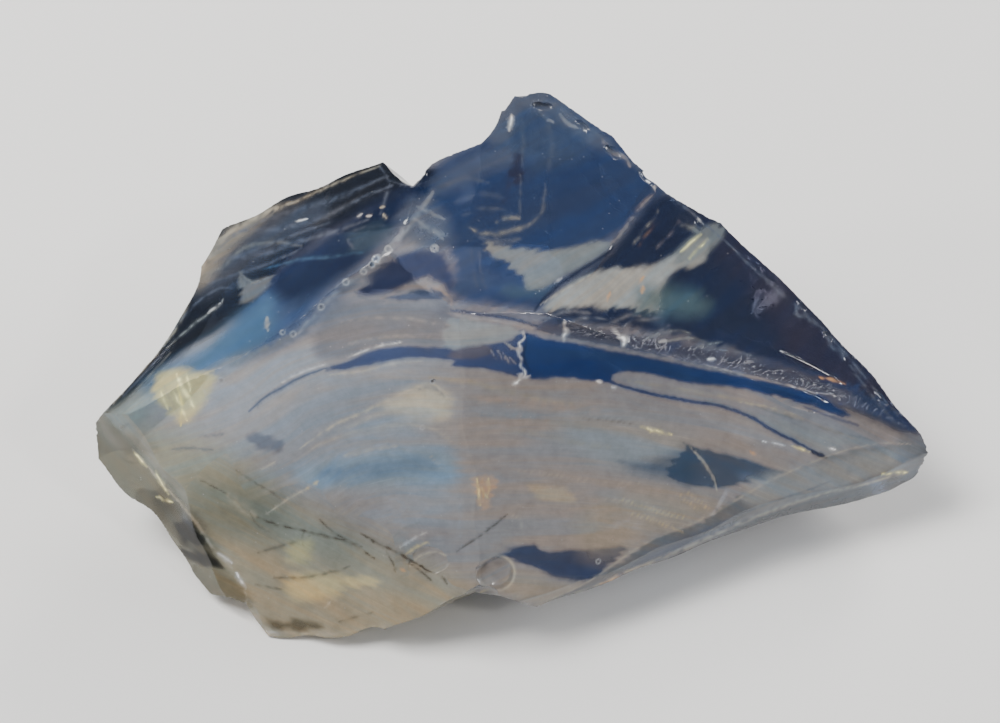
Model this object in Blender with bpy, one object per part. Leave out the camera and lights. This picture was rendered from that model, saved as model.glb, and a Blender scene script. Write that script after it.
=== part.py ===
"""A broken chunk of milky slag glass, resting on its flattest break.

The chunk is one solid, and every face of it is a fracture, so it is made the way it broke. A rough block
round its corners is cut by one fracture after another: a plane through three corners, hollowed or swelled
in the middle and rippled round the point where the blow fell. Chips, pits and grooves are then bitten
out of its front, and round scars out of its hidden sides.

Corners are given in millimetres on the slope of the main face: across it, up it and out of it. The
slope rises towards +Y. The part's own frame is in metres, +Z up, with z = 0 on the resting face.
"""

import math

import bmesh
import bpy
from mathutils import Matrix, Vector, noise

MM = 0.001
SLOPE_DEG = 35.0  # how far the main face's uphill line rises above the ground
SLOPE_HEIGHT_MM = 27.0  # height of the slope's middle above the resting face
ROUGH_ALLOWANCE = 1.06  # the rough block is this much larger than the corners

CELL_MM = 2.6  # size of the squares that a fracture is modelled with
CUT_DEPTH_MM = 60.0  # how much glass a fracture can take off
MARGIN_MM = 14.0  # how far a fracture runs past the corners of the rough block
BOWL_REACH = 1.3  # how far a fracture's hollow reaches, in distances from its middle to its corners
WANDER_MM = 2.5  # how far a ripple strays from a true circle
WANDER_SIZE_MM = 22.0
CROWDING = 0.85  # below 1, the ripples stand wider apart far from the blow
FADE_MM = 30.0  # distance from the blow over which the ripples die down
FAR_RIPPLE = 0.35  # share of a ripple's height that is left far from the blow
LUMP_MM = 0.5  # height of the slow, random unevenness of a fracture
LUMP_SIZE_MM = 15.0
FRONT_FACING = 0.2  # a fracture that faces the slope's outward side at least this much is on the front
LONG_BITE_MM = 6.0  # a bite with a longer half length is made with smaller facets
BITE_WOBBLE = 0.12  # how uneven a bite's outline is, as a share of its width
BITE_WOBBLE_SIZE = 0.6  # in half lengths of the bite
SCAR_WOBBLE = 0.012  # how uneven a scar is, as a share of its radius
SCAR_WOBBLE_SIZE_MM = 5.0
SEED_STEP = 10  # apart enough that no two fractures share their unevenness
LUMP_SEED = 50

UPHILL = Vector((0, math.cos(math.radians(SLOPE_DEG)), math.sin(math.radians(SLOPE_DEG))))
OUTWARD = Vector((0, -math.sin(math.radians(SLOPE_DEG)), math.cos(math.radians(SLOPE_DEG))))


def on_slope(across, up, out):
    """The place of a point given in millimetres on the slope, in the part's frame."""
    return (Vector((across, 0, SLOPE_HEIGHT_MM)) + UPHILL * up + OUTWARD * out) * MM


def on_ground(x, y, z=0.0):
    """The place of a point given in millimetres over the ground."""
    return Vector((x, y, z)) * MM


INSIDE = on_slope(0, -3, -14)  # a point well inside the glass

CORNERS = {
    "left_tip": on_slope(-54.4, -9.6, -8.2),
    "wing_left": on_slope(-36.8, 16.3, -16.0),
    "wing_right": on_slope(-15.5, 24.6, -6.0),
    "ridge": on_slope(-15.2, 13.2, 4.1),
    "notch": on_slope(-11.2, 20.0, -1.2),
    "notch_deep": on_slope(-10.6, 22.0, -30.0),
    "shoulder": on_slope(-1.9, 28.7, -5.0),
    "shoulder_deep": on_slope(2.5, 27.5, -18.0),
    "peak_left": on_slope(0.6, 33.0, -7.0),
    "peak_right": on_slope(5.8, 32.7, -8.0),
    "peak_deep": on_slope(3.5, 31.0, -20.0),
    "right_edge_high": on_slope(16.1, 24.4, -8.2),
    "right_edge_mid": on_slope(35.9, 8.1, -11.2),
    "right_edge_low": on_slope(44.1, 0.9, -12.2),
    "right_tip": on_slope(52.2, -12.0, -13.5),
    "right_tip_low": on_slope(51.6, -14.4, -14.5),
    "facet_crest": on_slope(17.5, 21.0, -7.5),
    "facet_foot": on_slope(3.8, 7.3, 2.0),
    "middle_crest": on_slope(-5.0, 9.0, 5.8),
    "middle_crest_low": on_slope(-5.0, -19.0, 0.6),
    "bevel_crest_left": on_slope(9.8, -25.5, -4.7),
    "bevel_crest_right": on_slope(49.5, -12.2, -12.9),
    "bevel_rim": on_slope(22.9, -24.8, -11.5),
    "bevel_left": on_slope(4.5, -29.4, -3.9),
    "bottom_notch": on_slope(-3.6, -27.0, -1.7),
    "toe_middle": on_slope(-15.4, -32.0, -6.2),
    "toe_left": on_slope(-29.3, -33.1, -9.4),
    "step": on_slope(-32.1, -28.8, -8.8),
    "step_deep": on_slope(-30.0, -27.2, -22.0),
    "heel": on_slope(-37.3, -27.6, -11.6),
    "left_rim": on_slope(-45.3, -17.2, -11.9),
    "left_rim_high": on_slope(-51.2, -11.6, -12.0),
    "left_crest": on_slope(-46.3, -8.8, -7.2),
    "left_crest_low": on_slope(-36.9, -21.2, -7.3),
    "foot_left": on_ground(-27.0, -11.0),
    "foot_toe": on_ground(-22.0, -19.5),
    "foot_front": on_ground(-2.0, -14.0),
    "foot_right": on_ground(20.0, -8.0),
    "foot_far_right": on_ground(28.0, 10.0),
    "foot_back": on_ground(12.0, 27.0),
    "foot_back_left": on_ground(-14.0, 27.0),
    "foot_wing": on_ground(-33.0, 12.0),
}

# Each fracture: the three corners it runs through, where the blow fell, how deep it is hollowed in the
# middle (less than 0 swells it), and its ripples' height and pitch, all in millimetres.
FRACTURES = {
    "main_left": (("left_tip", "left_crest_low", "middle_crest"), on_slope(-8, -30, 0), -0.8, 0.35, 8.0),
    "main_right": (("middle_crest", "right_tip", "middle_crest_low"), on_slope(-5, -22, 0), 0.8, 0.35, 9.0),
    "upper": (("facet_foot", "facet_crest", "peak_left"), on_slope(4, 34, 0), 0.6, 0.45, 8.0),
    "right_facet": (("facet_foot", "facet_crest", "right_edge_low"), on_slope(24, 20, 0), 0.6, 0.35, 9.0),
    "wing": (("left_tip", "ridge", "wing_left"), on_slope(-10, 24, -6), 1.0, 0.45, 7.0),
    "lower_left": (("left_crest_low", "middle_crest_low", "toe_left"), on_slope(-6, -28, 0), 0.6, 0.4, 7.0),
    "bevel": (("bevel_crest_left", "bevel_crest_right", "bevel_rim"), on_slope(6, -28, 0), 1.0, 0.2, 8.0),
    "left_chamfer": (("left_crest", "left_crest_low", "left_rim"), on_slope(-48, -8, -6), 0.4, 0.3, 6.0),
    "under_right": (("right_tip_low", "bevel_left", "foot_right"), on_slope(10, -26, -8), 0.9, 0.3, 8.0),
    "under_notch": (("bottom_notch", "bevel_left", "foot_front"), on_slope(-4, -27, -4), 0.0, 0.2, 6.0),
    "under_front": (("bottom_notch", "toe_middle", "foot_front"), on_slope(-4, -27, -4), 0.0, 0.2, 6.0),
    "under_toe": (("toe_middle", "toe_left", "foot_toe"), on_slope(-20, -32, -8), -0.7, 0.3, 6.0),
    "under_step": (("toe_left", "step", "step_deep"), on_slope(-30, -32, -8), 0.0, 0.2, 6.0),
    "under_heel": (("step", "heel", "step_deep"), on_slope(-30, -32, -8), 0.0, 0.2, 6.0),
    "under_left": (("heel", "left_rim_high", "foot_left"), on_slope(-44, -16, -10), 0.3, 0.4, 8.0),
    "back_right": (("peak_right", "right_edge_mid", "foot_back"), on_slope(8, 33, -4), -1.9, 0.4, 9.0),
    "back_low": (("right_edge_mid", "right_tip", "foot_far_right"), on_slope(50, -9, -14), -0.8, 0.4, 8.0),
    "back_peak": (("notch", "shoulder", "foot_back"), on_slope(2, 32, -4), 1.3, 0.3, 9.0),
    "peak_side": (("shoulder", "peak_left", "shoulder_deep"), on_slope(0, 33, -6), 0.0, 0.2, 6.0),
    "peak_top": (("peak_left", "peak_right", "peak_deep"), on_slope(0, 33, -6), -0.4, 0.2, 4.0),
    "notch_end": (("notch", "notch_deep", "wing_right"), on_slope(-11, 22, 0), 0.0, 0.2, 6.0),
    "back_wing": (("wing_left", "wing_right", "foot_back_left"), on_slope(-16, 24, -12), -1.2, 0.4, 8.0),
    "back_left": (("left_tip", "wing_left", "foot_wing"), on_slope(-50, -7, -9), 2.6, 0.3, 8.0),
}

# Some fractures met others before they ran through, and left a notch or a step. What such a group takes
# off is worked out first: the first one's cutter is cut back to, or joined with, those named here.
GROUPS = {
    "back_peak": (("notch_end", "INTERSECT"), ("back_wing", "UNION"), ("peak_side", "INTERSECT")),
    "under_front": (("under_notch", "INTERSECT"),),
    "under_step": (("under_heel", "INTERSECT"),),
}

# Bites out of the front: the middle across and up the slope, then half the length, half the width and the
# depth of each, how far its length is turned from across the slope, and how far its ends bend up.
BITES = {
    "long_groove": (11.5, 0.9, 33.0, 1.7, 1.3, -7.0, -4.6),
    "rib_hollow": (24.0, 2.0, 19.0, 2.2, 0.9, -14.0, -1.5),
    "crest_hollow": (-11.8, 12.4, 9.0, 4.0, 1.1, 14.0, -1.2),
    "bubble_pit": (-1.5, -24.6, 2.4, 2.1, 0.9, 20.0, 0.0),
    "impact_pit": (-9.3, -23.2, 2.2, 1.6, 0.6, -15.0, 0.0),
    "peak_chip_left": (3.6, 32.4, 1.8, 1.0, 0.8, -8.0, 0.0),
    "peak_chip_right": (9.0, 29.8, 1.8, 1.1, 0.9, -38.0, 0.0),
    "rim_chip_1": (13.2, 26.6, 2.1, 1.3, 1.1, -40.0, 0.0),
    "rim_chip_2": (17.4, 23.5, 2.2, 1.2, 1.0, -40.0, 0.0),
    "rim_chip_3": (23.6, 17.6, 2.2, 1.3, 1.1, -40.0, 0.0),
    "rim_chip_4": (36.3, 7.9, 2.0, 1.1, 1.0, -45.0, 0.0),
    "rim_chip_5": (39.5, 4.0, 1.8, 1.2, 1.0, -48.0, 0.0),
    "rim_chip_6": (46.0, -3.6, 2.3, 1.1, 0.9, -52.0, 0.0),
    "bottom_chip": (-3.2, -27.8, 2.2, 1.6, 1.8, 10.0, 0.0),
    "toe_chip": (-21.5, -32.2, 2.6, 1.2, 1.2, 4.0, 0.0),
    "wing_nick": (-43.5, 2.3, 5.5, 1.3, 2.5, 58.0, 0.0),
    "heel_chip": (-44.5, -17.6, 2.8, 1.1, 1.2, -50.0, 0.0),
}

# Round scars on the hidden sides: the fracture each is on, how far it sits from the middle of that
# fracture's corners (a direction of the part's frame, in millimetres), its ball's radius and its bite.
SCARS = {
    "scar_back": ("back_right", Vector((-3, 0, 6)), 22.0, 1.8),
    "scar_wing": ("back_wing", Vector((-6, 0, -3)), 18.0, 1.5),
    "scar_left": ("back_left", Vector((4, 2, 0)), 16.0, 1.3),
    "scar_under": ("under_left", Vector((-3, 0, 2)), 15.0, 1.2),
}


def smooth_noise(place, size):
    """Slow random rise and fall between about -1 and 1, with bumps of about the given size."""
    return noise.noise(place / size)


def new_object(name, mesh_builder, collection):
    """An object of the given collection whose mesh the builder makes."""
    mesh = bpy.data.meshes.new(name)
    bm = bmesh.new()
    mesh_builder(bm)
    bm.normal_update()
    bm.to_mesh(mesh)
    bm.free()
    obj = bpy.data.objects.new(name, mesh)
    collection.objects.link(obj)
    return obj


def fracture_plane(name):
    """A point on a fracture's plane, and the direction out of the glass there."""
    corners = [CORNERS[c] for c in FRACTURES[name][0]]
    middle = sum(corners, Vector()) / 3
    normal = (corners[1] - corners[0]).cross(corners[2] - corners[0]).normalized()
    if normal.dot(middle - INSIDE) < 0:
        normal.negate()
    return middle, normal


def front_depth(across, up):
    """How far out of the slope the glass reaches at a place on it, in millimetres."""
    start = on_slope(across, up, 0)
    depths = []
    for middle, normal in (fracture_plane(name) for name in FRACTURES):
        facing = normal.dot(OUTWARD)
        if facing > FRONT_FACING:
            depths.append((middle - start).dot(normal) / facing / MM)
    return min(depths)


def fracture_height(place, strike, reach, hollow, ripple, pitch, seed):
    """How far the fracture stands out of its plane at a place on the plane, all in millimetres."""
    bowl = -hollow * (1 - min(place.length / (BOWL_REACH * reach), 1) ** 2) ** 2
    away = (place - strike).length
    wander = WANDER_MM * smooth_noise(Vector((place.x, place.y, seed)), WANDER_SIZE_MM)
    waves = math.sin(2 * math.pi * (max(away + wander, 0) / pitch) ** CROWDING)
    fade = FAR_RIPPLE + (1 - FAR_RIPPLE) * math.exp(-away / FADE_MM)
    lumps = LUMP_MM * smooth_noise(Vector((place.x, place.y, seed + LUMP_SEED)), LUMP_SIZE_MM)
    return bowl + ripple * waves * fade + lumps


def fracture_cutter(name, seed, collection):
    """A solid that takes off everything outside one fracture."""
    corner_names, strike, hollow, ripple, pitch = FRACTURES[name]
    middle, normal = fracture_plane(name)
    to_plane = normal.to_track_quat("Z", "Y").to_matrix().to_4x4()
    to_plane.translation = middle
    from_plane = to_plane.inverted()
    reach = sum((CORNERS[c] - middle).length for c in corner_names) / 3 / MM
    local_strike = (from_plane @ strike) / MM
    local_strike.z = 0
    local = [(from_plane @ c) / MM for c in CORNERS.values()]
    low = [min(p[i] for p in local) - MARGIN_MM for i in range(2)]
    high = [max(p[i] for p in local) + MARGIN_MM for i in range(2)]
    counts = [max(2, round((high[i] - low[i]) / CELL_MM)) for i in range(2)]

    def build(bm):
        bmesh.ops.create_grid(bm, x_segments=counts[0], y_segments=counts[1], size=0.5)
        for vert in bm.verts:
            place = Vector((
                (low[0] + high[0]) / 2 + vert.co.x * (high[0] - low[0]),
                (low[1] + high[1]) / 2 + vert.co.y * (high[1] - low[1]),
                0,
            ))
            place.z = fracture_height(place, local_strike, reach, hollow, ripple, pitch, seed)
            vert.co = place * MM
        made = bmesh.ops.extrude_face_region(bm, geom=bm.faces[:])["geom"]
        top = [v for v in made if isinstance(v, bmesh.types.BMVert)]
        for vert in top:
            vert.co.z = CUT_DEPTH_MM * MM
        bmesh.ops.recalc_face_normals(bm, faces=bm.faces[:])
        bmesh.ops.transform(bm, matrix=to_plane, verts=bm.verts[:])

    return new_object("fracture_" + name, build, collection)


def bite_cutter(name, collection):
    """A lens laid on the front of the glass, which takes off a chip, a pit or a groove."""
    across, up, half_length, half_width, depth, turn, bend = BITES[name]
    turned = Matrix.Rotation(math.radians(turn), 2)
    detail = 3 if half_length > LONG_BITE_MM else 2

    def build(bm):
        bmesh.ops.create_icosphere(bm, subdivisions=detail, radius=1)
        for vert in bm.verts:
            ball = vert.co.copy()
            edge = 1 + BITE_WOBBLE * smooth_noise(vert.co + Vector((across, up, 0)), BITE_WOBBLE_SIZE)
            place = turned @ Vector((ball.x * half_length, ball.y * half_width * edge + bend * ball.x ** 2))
            place += Vector((across, up))
            out = front_depth(place.x, place.y) + depth * ball.z * edge
            vert.co = on_slope(place.x, place.y, out)

    return new_object("bite_" + name, build, collection)


def scar_cutter(name, collection):
    """A ball that takes a shallow round scar out of a fracture."""
    fracture, offset, radius, bite = SCARS[name]
    middle, normal = fracture_plane(fracture)
    offset = offset - normal * offset.dot(normal)
    centre = middle + (offset + normal * (radius - bite)) * MM

    def build(bm):
        bmesh.ops.create_icosphere(bm, subdivisions=4, radius=radius * MM)
        for vert in bm.verts:
            vert.co *= 1 + SCAR_WOBBLE * smooth_noise(vert.co / MM, SCAR_WOBBLE_SIZE_MM)
        bmesh.ops.translate(bm, vec=centre, verts=bm.verts[:])

    return new_object(name, build, collection)


def rough_block(name, collection):
    """The block that the fractures are cut from: a hull round the corners, a little larger than them."""
    def build(bm):
        middle = sum(CORNERS.values(), Vector()) / len(CORNERS)
        for corner in CORNERS.values():
            place = middle + (corner - middle) * ROUGH_ALLOWANCE
            place.z = max(corner.z, 0) * ROUGH_ALLOWANCE
            bm.verts.new(place)
        hull = bmesh.ops.convex_hull(bm, input=bm.verts[:])
        spare = hull["geom_interior"] + hull["geom_unused"]
        inside = {v for v in spare if isinstance(v, bmesh.types.BMVert)}
        bmesh.ops.delete(bm, geom=list(inside), context="VERTS")
        bmesh.ops.recalc_face_normals(bm, faces=bm.faces[:])

    return new_object(name, build, collection)


def glass_material():
    """Milky glass that lets a good part of the light through."""
    material = bpy.data.materials.new("slag_glass")
    material.use_nodes = True
    shader = material.node_tree.nodes["Principled BSDF"]
    shader.inputs["Base Color"].default_value = (0.42, 0.5, 0.62, 1)
    shader.inputs["Roughness"].default_value = 0.06
    shader.inputs["Metallic"].default_value = 0
    shader.inputs["IOR"].default_value = 1.52
    shader.inputs["Transmission Weight"].default_value = 0.6
    return material


def combine(body, cutter, operation):
    """Cuts a cutter from a body, or joins or crosses the two, and leaves the cutter as a wire guide."""
    cutter.hide_render = True
    cutter.display_type = "WIRE"
    modifier = body.modifiers.new(cutter.name, "BOOLEAN")
    modifier.operation = operation
    modifier.solver = "MANIFOLD"  # the exact one fails on so long a chain of rippled cuts
    modifier.object = cutter


def connected_faces(first):
    """All the faces that a face is joined to, through any number of others."""
    found = {first}
    to_follow = [first]
    while to_follow:
        for edge in to_follow.pop().edges:
            for face in edge.link_faces:
                if face not in found:
                    found.add(face)
                    to_follow.append(face)
    return found


def keep_largest_piece(body):
    """Applies the cuts, and lets go of the splinters that they leave beside the chunk."""
    depsgraph = bpy.context.evaluated_depsgraph_get()
    mesh = bpy.data.meshes.new_from_object(body.evaluated_get(depsgraph))
    bm = bmesh.new()
    bm.from_mesh(mesh)
    largest = set()
    seen = set()
    for face in bm.faces:
        if face not in seen:
            piece = connected_faces(face)
            seen |= piece
            largest = max(largest, piece, key=len)
    splinters = [face for face in bm.faces if face not in largest]
    bmesh.ops.delete(bm, geom=splinters, context="FACES")
    bm.to_mesh(mesh)
    bm.free()
    body.modifiers.clear()
    body.data = mesh


def main():
    """Builds the chunk from its rough block, its fractures, its bites and its scars."""
    for obj in list(bpy.data.objects):
        bpy.data.objects.remove(obj)
    chunk = bpy.data.collections.new("slag_glass_chunk")
    cutters = bpy.data.collections.new("cutters")
    for collection in (chunk, cutters):
        bpy.context.scene.collection.children.link(collection)
    body = rough_block("glass_chunk", chunk)
    made = {
        name: fracture_cutter(name, SEED_STEP * seed, cutters)
        for seed, name in enumerate(FRACTURES)
    }
    in_groups = set()
    for name, others in GROUPS.items():
        for other, operation in others:
            combine(made[name], made[other], operation)
            in_groups.add(other)
    for name, cutter in made.items():
        if name not in in_groups:
            combine(body, cutter, "DIFFERENCE")
    for name in BITES:
        combine(body, bite_cutter(name, cutters), "DIFFERENCE")
    for name in SCARS:
        combine(body, scar_cutter(name, cutters), "DIFFERENCE")
    keep_largest_piece(body)
    body.data.materials.append(glass_material())
    body.data.shade_smooth()
    body.data.set_sharp_from_angle(angle=math.radians(30))


main()
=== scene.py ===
import math
import random

import bmesh
import bpy
import numpy as np
from mathutils import Matrix, Vector, noise


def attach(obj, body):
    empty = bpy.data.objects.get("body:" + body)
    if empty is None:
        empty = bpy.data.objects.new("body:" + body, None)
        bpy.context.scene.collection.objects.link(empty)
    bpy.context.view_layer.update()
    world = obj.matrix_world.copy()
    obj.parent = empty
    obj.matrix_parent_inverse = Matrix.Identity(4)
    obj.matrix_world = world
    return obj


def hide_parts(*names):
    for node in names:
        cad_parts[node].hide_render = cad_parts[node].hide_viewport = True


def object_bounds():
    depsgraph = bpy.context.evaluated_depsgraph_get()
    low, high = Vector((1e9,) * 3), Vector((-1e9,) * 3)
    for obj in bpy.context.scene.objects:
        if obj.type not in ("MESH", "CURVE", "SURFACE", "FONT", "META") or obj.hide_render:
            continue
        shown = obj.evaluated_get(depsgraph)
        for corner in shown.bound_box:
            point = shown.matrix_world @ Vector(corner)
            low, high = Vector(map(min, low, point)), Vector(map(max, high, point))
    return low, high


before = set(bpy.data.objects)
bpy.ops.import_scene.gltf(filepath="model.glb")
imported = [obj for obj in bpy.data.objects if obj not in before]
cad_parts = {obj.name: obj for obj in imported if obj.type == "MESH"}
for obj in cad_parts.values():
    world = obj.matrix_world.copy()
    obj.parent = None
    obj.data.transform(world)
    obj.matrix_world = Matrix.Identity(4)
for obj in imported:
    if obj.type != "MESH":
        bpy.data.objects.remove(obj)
cadLow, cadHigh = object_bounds()

mm = 0.001

# The slope that the main face lies on.
slope = {
    "degrees": 35.0,  # how far its uphill line rises above the ground
    "height": 27.0,  # of its middle above the floor, in millimetres
}
slopeTurn = math.radians(slope["degrees"])
uphill = Vector((0, math.cos(slopeTurn), math.sin(slopeTurn)))
outward = Vector((0, -math.sin(slopeTurn), math.cos(slopeTurn)))


def onSlope(across, up, out=0.0):
    # millimetres across, up and out of the slope, to a place in metres
    return (Vector((across, 0, slope["height"])) + uphill * up + outward * out) * mm


def onGround(x, y):
    return Vector((x, y, 0)) * mm


def slopeCoordinates(places):
    # a table of places in metres, to three rows of millimetres across, up and out
    raised = places / mm - np.array((0, 0, slope["height"]))
    return raised[:, 0], raised @ np.array(uphill), raised @ np.array(outward)


# The fractures. Each runs through three corners; then come the blow's place, how deep it is hollowed in the
# middle (less than 0 swells it), and its ripples' height and pitch, in millimetres.
fractures = {
    "cell": 0.34,  # the front faces' squares
    "hiddenCell": 0.7,  # the back and under faces' squares
    "farCell": 6.0,  # the squares past a face, which other fractures take off
    "spare": 2.2,  # how far the fine squares run past the face
    "cutDepth": 60.0,
    "margin": 14.0,
    "bowlReach": 1.3,
    "wander": 2.5,
    "wanderSize": 22.0,
    "crowding": 0.85,
    "fade": 30.0,
    "farRipple": 0.35,
    "lump": 0.5,
    "lumpSize": 15.0,
    "frontFacing": 0.2,
    "seedStep": 10,
    "lumpSeed": 50,
    "roughAllowance": 1.06,
    "fineRipple": 0.010,  # height of the close ripples between the broad ones
    "finePitch": 2.1,
    "hackle": 0.018,  # height of the fine ridges that fan out from the blow
    "hackleTurn": 13.0,  # how many of them there are in a radian
    "patchSize": 9.0,  # of the places where the close ripples show
    "patchSeed": 3.5,
    "hackleLength": 24.0,
    "hackleGrowth": 30.0,  # how far from the blow they have their full height
    "nearPlane": 4.0,  # how far off its plane a fracture's own corners may lie
    "nearFace": 0.6,  # how near to a fracture the solid's own corners count as lying on it
    "inside": onSlope(0, -3, -14),
    "corners": {
        "leftTip": onSlope(-54.4, -9.6, -8.2),
        "wingLeft": onSlope(-36.8, 16.3, -16.0),
        "wingRight": onSlope(-15.5, 24.6, -6.0),
        "ridge": onSlope(-15.2, 13.2, 4.1),
        "notch": onSlope(-10.9, 21.0, -1.5),
        "notchDeep": onSlope(-10.6, 22.0, -30.0),
        "shoulder": onSlope(-1.9, 28.7, -5.0),
        "shoulderDeep": onSlope(2.5, 27.5, -18.0),
        "peakLeft": onSlope(0.6, 33.0, -7.0),
        "peakRight": onSlope(5.8, 32.7, -8.0),
        "peakDeep": onSlope(3.5, 31.0, -20.0),
        "rightEdgeHigh": onSlope(16.1, 24.4, -8.2),
        "rightEdgeMid": onSlope(35.9, 8.1, -11.2),
        "rightEdgeLow": onSlope(44.1, 0.9, -12.2),
        "rightTip": onSlope(52.2, -12.0, -13.5),
        "rightTipLow": onSlope(51.6, -14.4, -14.5),
        "facetCrest": onSlope(17.5, 21.0, -7.5),
        "facetFoot": onSlope(3.8, 7.3, 2.0),
        "middleCrest": onSlope(-5.0, 9.0, 5.8),
        "middleCrestLow": onSlope(-5.0, -19.0, 0.6),
        "bevelCrestLeft": onSlope(9.8, -25.5, -4.7),
        "bevelCrestRight": onSlope(49.5, -12.2, -12.9),
        "bevelRim": onSlope(22.9, -24.8, -11.5),
        "bevelLeft": onSlope(4.5, -29.4, -3.9),
        "bottomNotch": onSlope(-3.6, -27.0, -1.7),
        "toeMiddle": onSlope(-15.4, -32.0, -6.2),
        "toeLeft": onSlope(-29.3, -33.1, -9.4),
        "step": onSlope(-32.1, -28.8, -8.8),
        "stepDeep": onSlope(-30.0, -27.2, -22.0),
        "heel": onSlope(-37.3, -27.6, -11.6),
        "leftRim": onSlope(-45.3, -17.2, -11.9),
        "leftRimHigh": onSlope(-51.2, -11.6, -12.0),
        "leftCrest": onSlope(-46.3, -8.8, -7.2),
        "leftCrestLow": onSlope(-36.9, -21.2, -7.3),
        "footLeft": onGround(-27.0, -11.0),
        "footToe": onGround(-22.0, -19.5),
        "footFront": onGround(-2.0, -14.0),
        "footRight": onGround(20.0, -8.0),
        "footFarRight": onGround(28.0, 10.0),
        "footBack": onGround(12.0, 27.0),
        "footBackLeft": onGround(-14.0, 27.0),
        "footWing": onGround(-33.0, 12.0),
    },
    "faces": {
        "mainLeft": (("leftTip", "leftCrestLow", "middleCrest"), onSlope(-8, -30), -0.8, 0.2, 8.0),
        "mainRight": (("middleCrest", "rightTip", "middleCrestLow"), onSlope(-5, -22), 0.8, 0.12, 9.0),
        "upper": (("facetFoot", "facetCrest", "peakLeft"), onSlope(4, 34), 0.6, 0.1, 8.0),
        "rightFacet": (("facetFoot", "facetCrest", "rightEdgeLow"), onSlope(24, 20), 0.6, 0.12, 9.0),
        "wing": (("leftTip", "ridge", "wingLeft"), onSlope(-10, 24, -6), 1.0, 0.22, 7.0),
        "lowerLeft": (("leftCrestLow", "middleCrestLow", "toeLeft"), onSlope(-6, -28), 0.6, 0.22, 7.0),
        "bevel": (("bevelCrestLeft", "bevelCrestRight", "bevelRim"), onSlope(6, -28), 1.0, 0.1, 8.0),
        "leftChamfer": (("leftCrest", "leftCrestLow", "leftRim"), onSlope(-48, -8, -6), 0.4, 0.2, 6.0),
        "underRight": (("rightTipLow", "bevelLeft", "footRight"), onSlope(10, -26, -8), 0.9, 0.2, 8.0),
        "underNotch": (("bottomNotch", "bevelLeft", "footFront"), onSlope(-4, -27, -4), 0.0, 0.2, 6.0),
        "underFront": (("bottomNotch", "toeMiddle", "footFront"), onSlope(-4, -27, -4), 0.0, 0.2, 6.0),
        "underToe": (("toeMiddle", "toeLeft", "footToe"), onSlope(-20, -32, -8), -0.7, 0.3, 6.0),
        "underStep": (("toeLeft", "step", "stepDeep"), onSlope(-30, -32, -8), 0.0, 0.2, 6.0),
        "underHeel": (("step", "heel", "stepDeep"), onSlope(-30, -32, -8), 0.0, 0.2, 6.0),
        "underLeft": (("heel", "leftRimHigh", "footLeft"), onSlope(-44, -16, -10), 0.3, 0.25, 8.0),
        "backRight": (("peakRight", "rightEdgeMid", "footBack"), onSlope(8, 33, -4), -1.9, 0.25, 9.0),
        "backLow": (("rightEdgeMid", "rightTip", "footFarRight"), onSlope(50, -9, -14), -0.8, 0.25, 8.0),
        "backPeak": (("notch", "shoulder", "footBack"), onSlope(2, 32, -4), 1.3, 0.2, 9.0),
        "peakSide": (("shoulder", "peakLeft", "shoulderDeep"), onSlope(0, 33, -6), 0.0, 0.2, 6.0),
        "peakTop": (("peakLeft", "peakRight", "peakDeep"), onSlope(0, 33, -6), -0.4, 0.2, 4.0),
        "notchEnd": (("notch", "notchDeep", "wingRight"), onSlope(-11, 22), 0.0, 0.2, 6.0),
        "backWing": (("wingLeft", "wingRight", "footBackLeft"), onSlope(-16, 24, -12), -1.2, 0.25, 8.0),
        "backLeft": (("leftTip", "wingLeft", "footWing"), onSlope(-50, -7, -9), 2.6, 0.2, 8.0),
    },
    # these met others before they ran through, so their cutters are crossed or joined first
    "groups": {
        "backPeak": (("notchEnd", "INTERSECT"), ("backWing", "UNION"), ("peakSide", "INTERSECT")),
        "underFront": (("underNotch", "INTERSECT"),),
        "underStep": (("underHeel", "INTERSECT"),),
    },
}


def newObject(name, meshBuilder):
    mesh = bpy.data.meshes.new(name)
    bm = bmesh.new()
    meshBuilder(bm)
    bm.normal_update()
    bm.to_mesh(mesh)
    bm.free()
    piece = bpy.data.objects.new(name, mesh)
    bpy.context.scene.collection.objects.link(piece)
    return piece


def removeObject(piece):
    mesh = piece.data
    bpy.data.objects.remove(piece)
    bpy.data.meshes.remove(mesh)


def smoothNoise(place, size):
    return noise.noise(place / size)


def fracturePlane(name):
    corners = [fractures["corners"][c] for c in fractures["faces"][name][0]]
    middle = sum(corners, Vector()) / 3
    normal = (corners[1] - corners[0]).cross(corners[2] - corners[0]).normalized()
    if normal.dot(middle - fractures["inside"]) < 0:
        normal.negate()
    return middle, normal


def facesFront(name):
    return fracturePlane(name)[1].dot(outward) > fractures["frontFacing"]


def broadHeight(place, strike, reach, face, seed):
    # the fracture's own form: the part's solid has it too, with taller ripples
    hollow, ripple, pitch = face[2:]
    f = fractures
    bowl = -hollow * (1 - min(place.length / (f["bowlReach"] * reach), 1) ** 2) ** 2
    away = (place - strike).length
    wander = f["wander"] * smoothNoise(Vector((place.x, place.y, seed)), f["wanderSize"])
    waves = math.sin(2 * math.pi * (max(away + wander, 0) / pitch) ** f["crowding"])
    fade = f["farRipple"] + (1 - f["farRipple"]) * math.exp(-away / f["fade"])
    lumps = f["lump"] * smoothNoise(Vector((place.x, place.y, seed + f["lumpSeed"])), f["lumpSize"])
    return bowl + ripple * waves * fade + lumps, away + wander


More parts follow.
